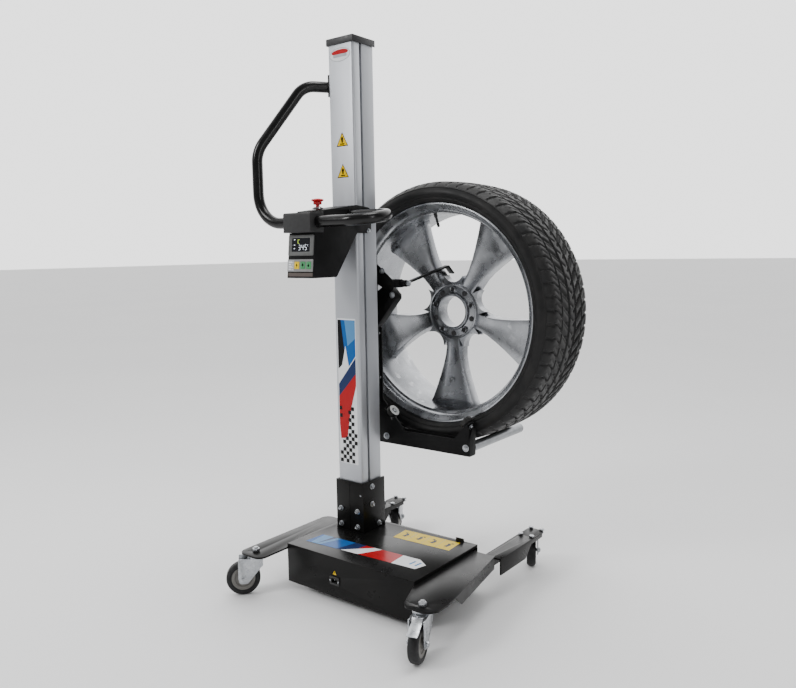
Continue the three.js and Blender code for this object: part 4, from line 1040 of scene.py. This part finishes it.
def make_lugs(base, face):
    """Lug seats in the hub's dished ring: five round bosses whose bores end on dark discs of painted shade,
    between five dark discs of painted shade that stand for cast pockets.
    """
    bosses, hole_shades = bmesh.new(), bmesh.new()
    for i in range(10):
        angle = math.radians(36 * i + 18)
        spot = base @ Vector((math.cos(angle) * 66 * MM, math.sin(angle) * 66 * MM, 0))
        local = Matrix.Translation(spot) @ base.to_3x3().to_4x4()
        if i % 2:
            add_lathe(bosses, local, [(0, face + 10), (6.2, face + 10), (6.6, face + 4), (8.4, face + 2.4),
                                      (9.6, face + 3.6), (9.8, face + 12), (0, face + 12)], 28)
            # A dark disc at the bottom of the boss's bore: painted shade.
            add_drum(hole_shades, local, 5.9, face + 9.2, face + 9.9, 20)
        else:
            # A lone dark disc stands for a cast pocket: painted shade.
            add_drum(hole_shades, local, 8.2, face + 8.6, face + 10.6, 24, edge=0.6)
    finish_piece("rim_lug_seats", bosses, ALLOY, "wheel", 35, turn_out=True)
    finish_piece("rim_lug_hole_painted_shade", hole_shades, CASTING_SHADE, "wheel")


def spoke_ring(w, spread, front, back, dish):
    """Section across a spoke: a slightly dished near face and side walls that spread towards the far face."""
    waist = front + (back - front) * 0.45
    return [(-w, front + 1.5), (-w * 0.55, front + dish), (w * 0.1, front + dish * 1.6),
            (w * 0.62, front + dish), (w, front + 1.5), (w + spread * 0.35, waist), (w + spread, back),
            (-w - spread, back), (-w - spread * 0.35, waist)]


def make_spokes(centre, face):
    """Five cast blades that fan out from the hub to the barrel."""
    bm = bmesh.new()
    stations = ((78, 22, 5), (96, 22.5, 9), (112, 23.5, 8), (136, 27, 5), (165, 34.5, 3), (200, 46, 2),
                (240, 61, 2), (266, 72, 2), (280, 79.5, 2))
    for i in range(5):
        turn = Matrix.Translation(centre) @ Matrix.Rotation(-2 * math.pi * i / 5, 4, "Y")
        rows = []
        for r, w, spread in stations:
            share = (r - 78) / 202
            front = face + 4 - 4 * share
            ring = spoke_ring(w, spread, front, face + 40 - 8 * share, 2.5 + 3 * share)
            rows.append([bm.verts.new(turn @ (Vector((x, y, -r)) * MM)) for x, y in ring])
        for vert in rows[-1]:
            flat = Vector((vert.co.x - centre.x, 0, vert.co.z - centre.z))
            flat = flat.normalized() * BARREL_INSIDE * MM
            vert.co = Vector((centre.x + flat.x, vert.co.y, centre.z + flat.z))
        for low, high in zip(rows, rows[1:]):
            edges = []
            for ring in (low, high):
                for a, b in zip(ring, ring[1:] + ring[:1]):
                    edges.append(bm.edges.get((a, b)) or bm.edges.new((a, b)))
            bmesh.ops.bridge_loops(bm, edges=edges)
        for ring in (rows[0], rows[-1]):
            bmesh.ops.contextual_create(bm, geom=ring)
    bmesh.ops.recalc_face_normals(bm, faces=bm.faces)
    soften(bm, sharp_edges(bm, 40), 1.3)
    finish_piece("rim_spokes", bm, ALLOY, "wheel", 34)
    web = bmesh.new()
    for i in range(5):
        turn = Matrix.Translation(centre) @ Matrix.Rotation(-2 * math.pi * (i + 0.5) / 5, 4, "Y")
        rows = []
        for degree in range(-60, 61, 6):
            t = math.radians(degree)
            r, y = 124 - 38 * math.cos(t), 38 * math.sin(t)
            inner_r, inner_y = 79 * math.cos(math.asin(min(0.6, abs(y) / 79))), y * 0.96
            section = [(r + 1.5, y, face + 8), (r, y, face + 12), (r + 2.5, y * 0.97, face + 36),
                       (inner_r, inner_y, face + 38), (inner_r, inner_y, face + 7)]
            points = [turn @ (Vector((across, out, -reach)) * MM) for reach, across, out in section]
            rows.append([web.verts.new(point) for point in points])
        for one, two in zip(rows, rows[1:]):
            for j in range(5):
                web.faces.new((one[j], one[(j + 1) % 5], two[(j + 1) % 5], two[j]))
        web.faces.new(rows[0])
        web.faces.new(rows[-1])
    finish_piece("rim_window_roots", web, ALLOY, "wheel", 25, turn_out=True)
    spot = Matrix.Translation(centre + Vector((-6, face + 4.2, -208)) * MM)
    spot = spot @ Matrix.Rotation(math.pi / 2, 4, "X")
    eye = [(5.2, -2), (5.2, 1.2), (6.2, 2), (8.2, 2), (9.2, 1.2), (9.2, -2)]
    lathe_piece("rim_casting_eye", spot, eye, 32, ALLOY, "wheel", True, 34)


# ------------------------------------------------------------------ casters
CASTERS = {
    "front_left": (-122, -306, -133, False),
    "front_right": (443, -306, -72, True),
    "rear_left": (-82, 265, 118, False),
    "rear_right": (424, 265, 118, False),
}


def make_casters():
    for key, (x, y, heading, stem) in CASTERS.items():
        turn = math.radians(heading)
        ahead = Vector((math.cos(turn), math.sin(turn), 0))
        side = Vector((-math.sin(turn), math.cos(turn), 0))
        axle = at(x, y, 46.5) + ahead * 37 * MM
        base = Matrix.Translation(axle) @ Matrix((ahead, -UP, side)).transposed().to_4x4()
        name = "caster_" + key
        rounded_node(name + "_fork", ZINC, 0.5)
        rounded_node(name + "_mount", ZINC, 0.4)
        if stem:
            rounded_node(name + "_brake", ZINC, 0.6)
        tread = [(32.4, -12), (38, -13.6), (42.5, -12.4), (45.4, -9.6), (46.4, -6), (46.5, 0), (46.4, 6),
                 (45.4, 9.6), (42.5, 12.4), (38, 13.6), (32.4, 12)]
        wheel = name + "_wheel"
        lathe_piece(name + "_tyre", base, tread, 56, TREAD, wheel, True, node=name + "_tread")
        core = [(5.6, -13.8), (10.5, -13.8), (11.6, -12.4), (12, -10), (17, -8.6), (22, -8.6), (23, -10.8),
                (25, -11.4), (30.5, -11.8), (32, -11.4), (32, 11.4), (30.5, 11.8), (25, 11.4), (23, 10.8),
                (22, 8.6), (17, 8.6), (12, 10), (11.6, 12.4), (10.5, 13.8), (5.6, 13.8)]
        lathe_piece(name + "_core", base, core, 56, CORE, wheel, True, node=name + "_hub")
        bolt = bmesh.new()
        for sign in (1, -1):
            end = base @ Matrix.Translation((0, 0, sign * 20.1 * MM))
            add_hex_bolt(bolt, end.translation, side * sign, 13, 4.6)
        finish_piece(name + "_axle_bolt", bolt, ZINC, name + "_swivel")


# ------------------------------------------------------------------ build
def make_floor():
    bm = bmesh.new()
    bmesh.ops.create_grid(bm, x_segments=1, y_segments=1, size=60)
    floor = new_mesh_object("studio_floor", bm)
    paint = Finish("pale_studio_floor", (0.9, 0.9, 0.9), 0.6)
    paint.tint(paint.noise(1.5), (0.88, 0.88, 0.885))
    floor.data.materials.append(paint.material)


set_camera()
set_light()
make_floor()
make_base()
make_sleeve_screws()
make_inlet()
make_cover_labels()
make_mast()
make_mast_decal()
make_drive()
make_head()
make_keys()
make_stop_knob()
make_head_bolts()
make_handles()
make_carriage()
make_rollers()
make_guide_rollers()
make_tyre()
make_rim()
make_casters()
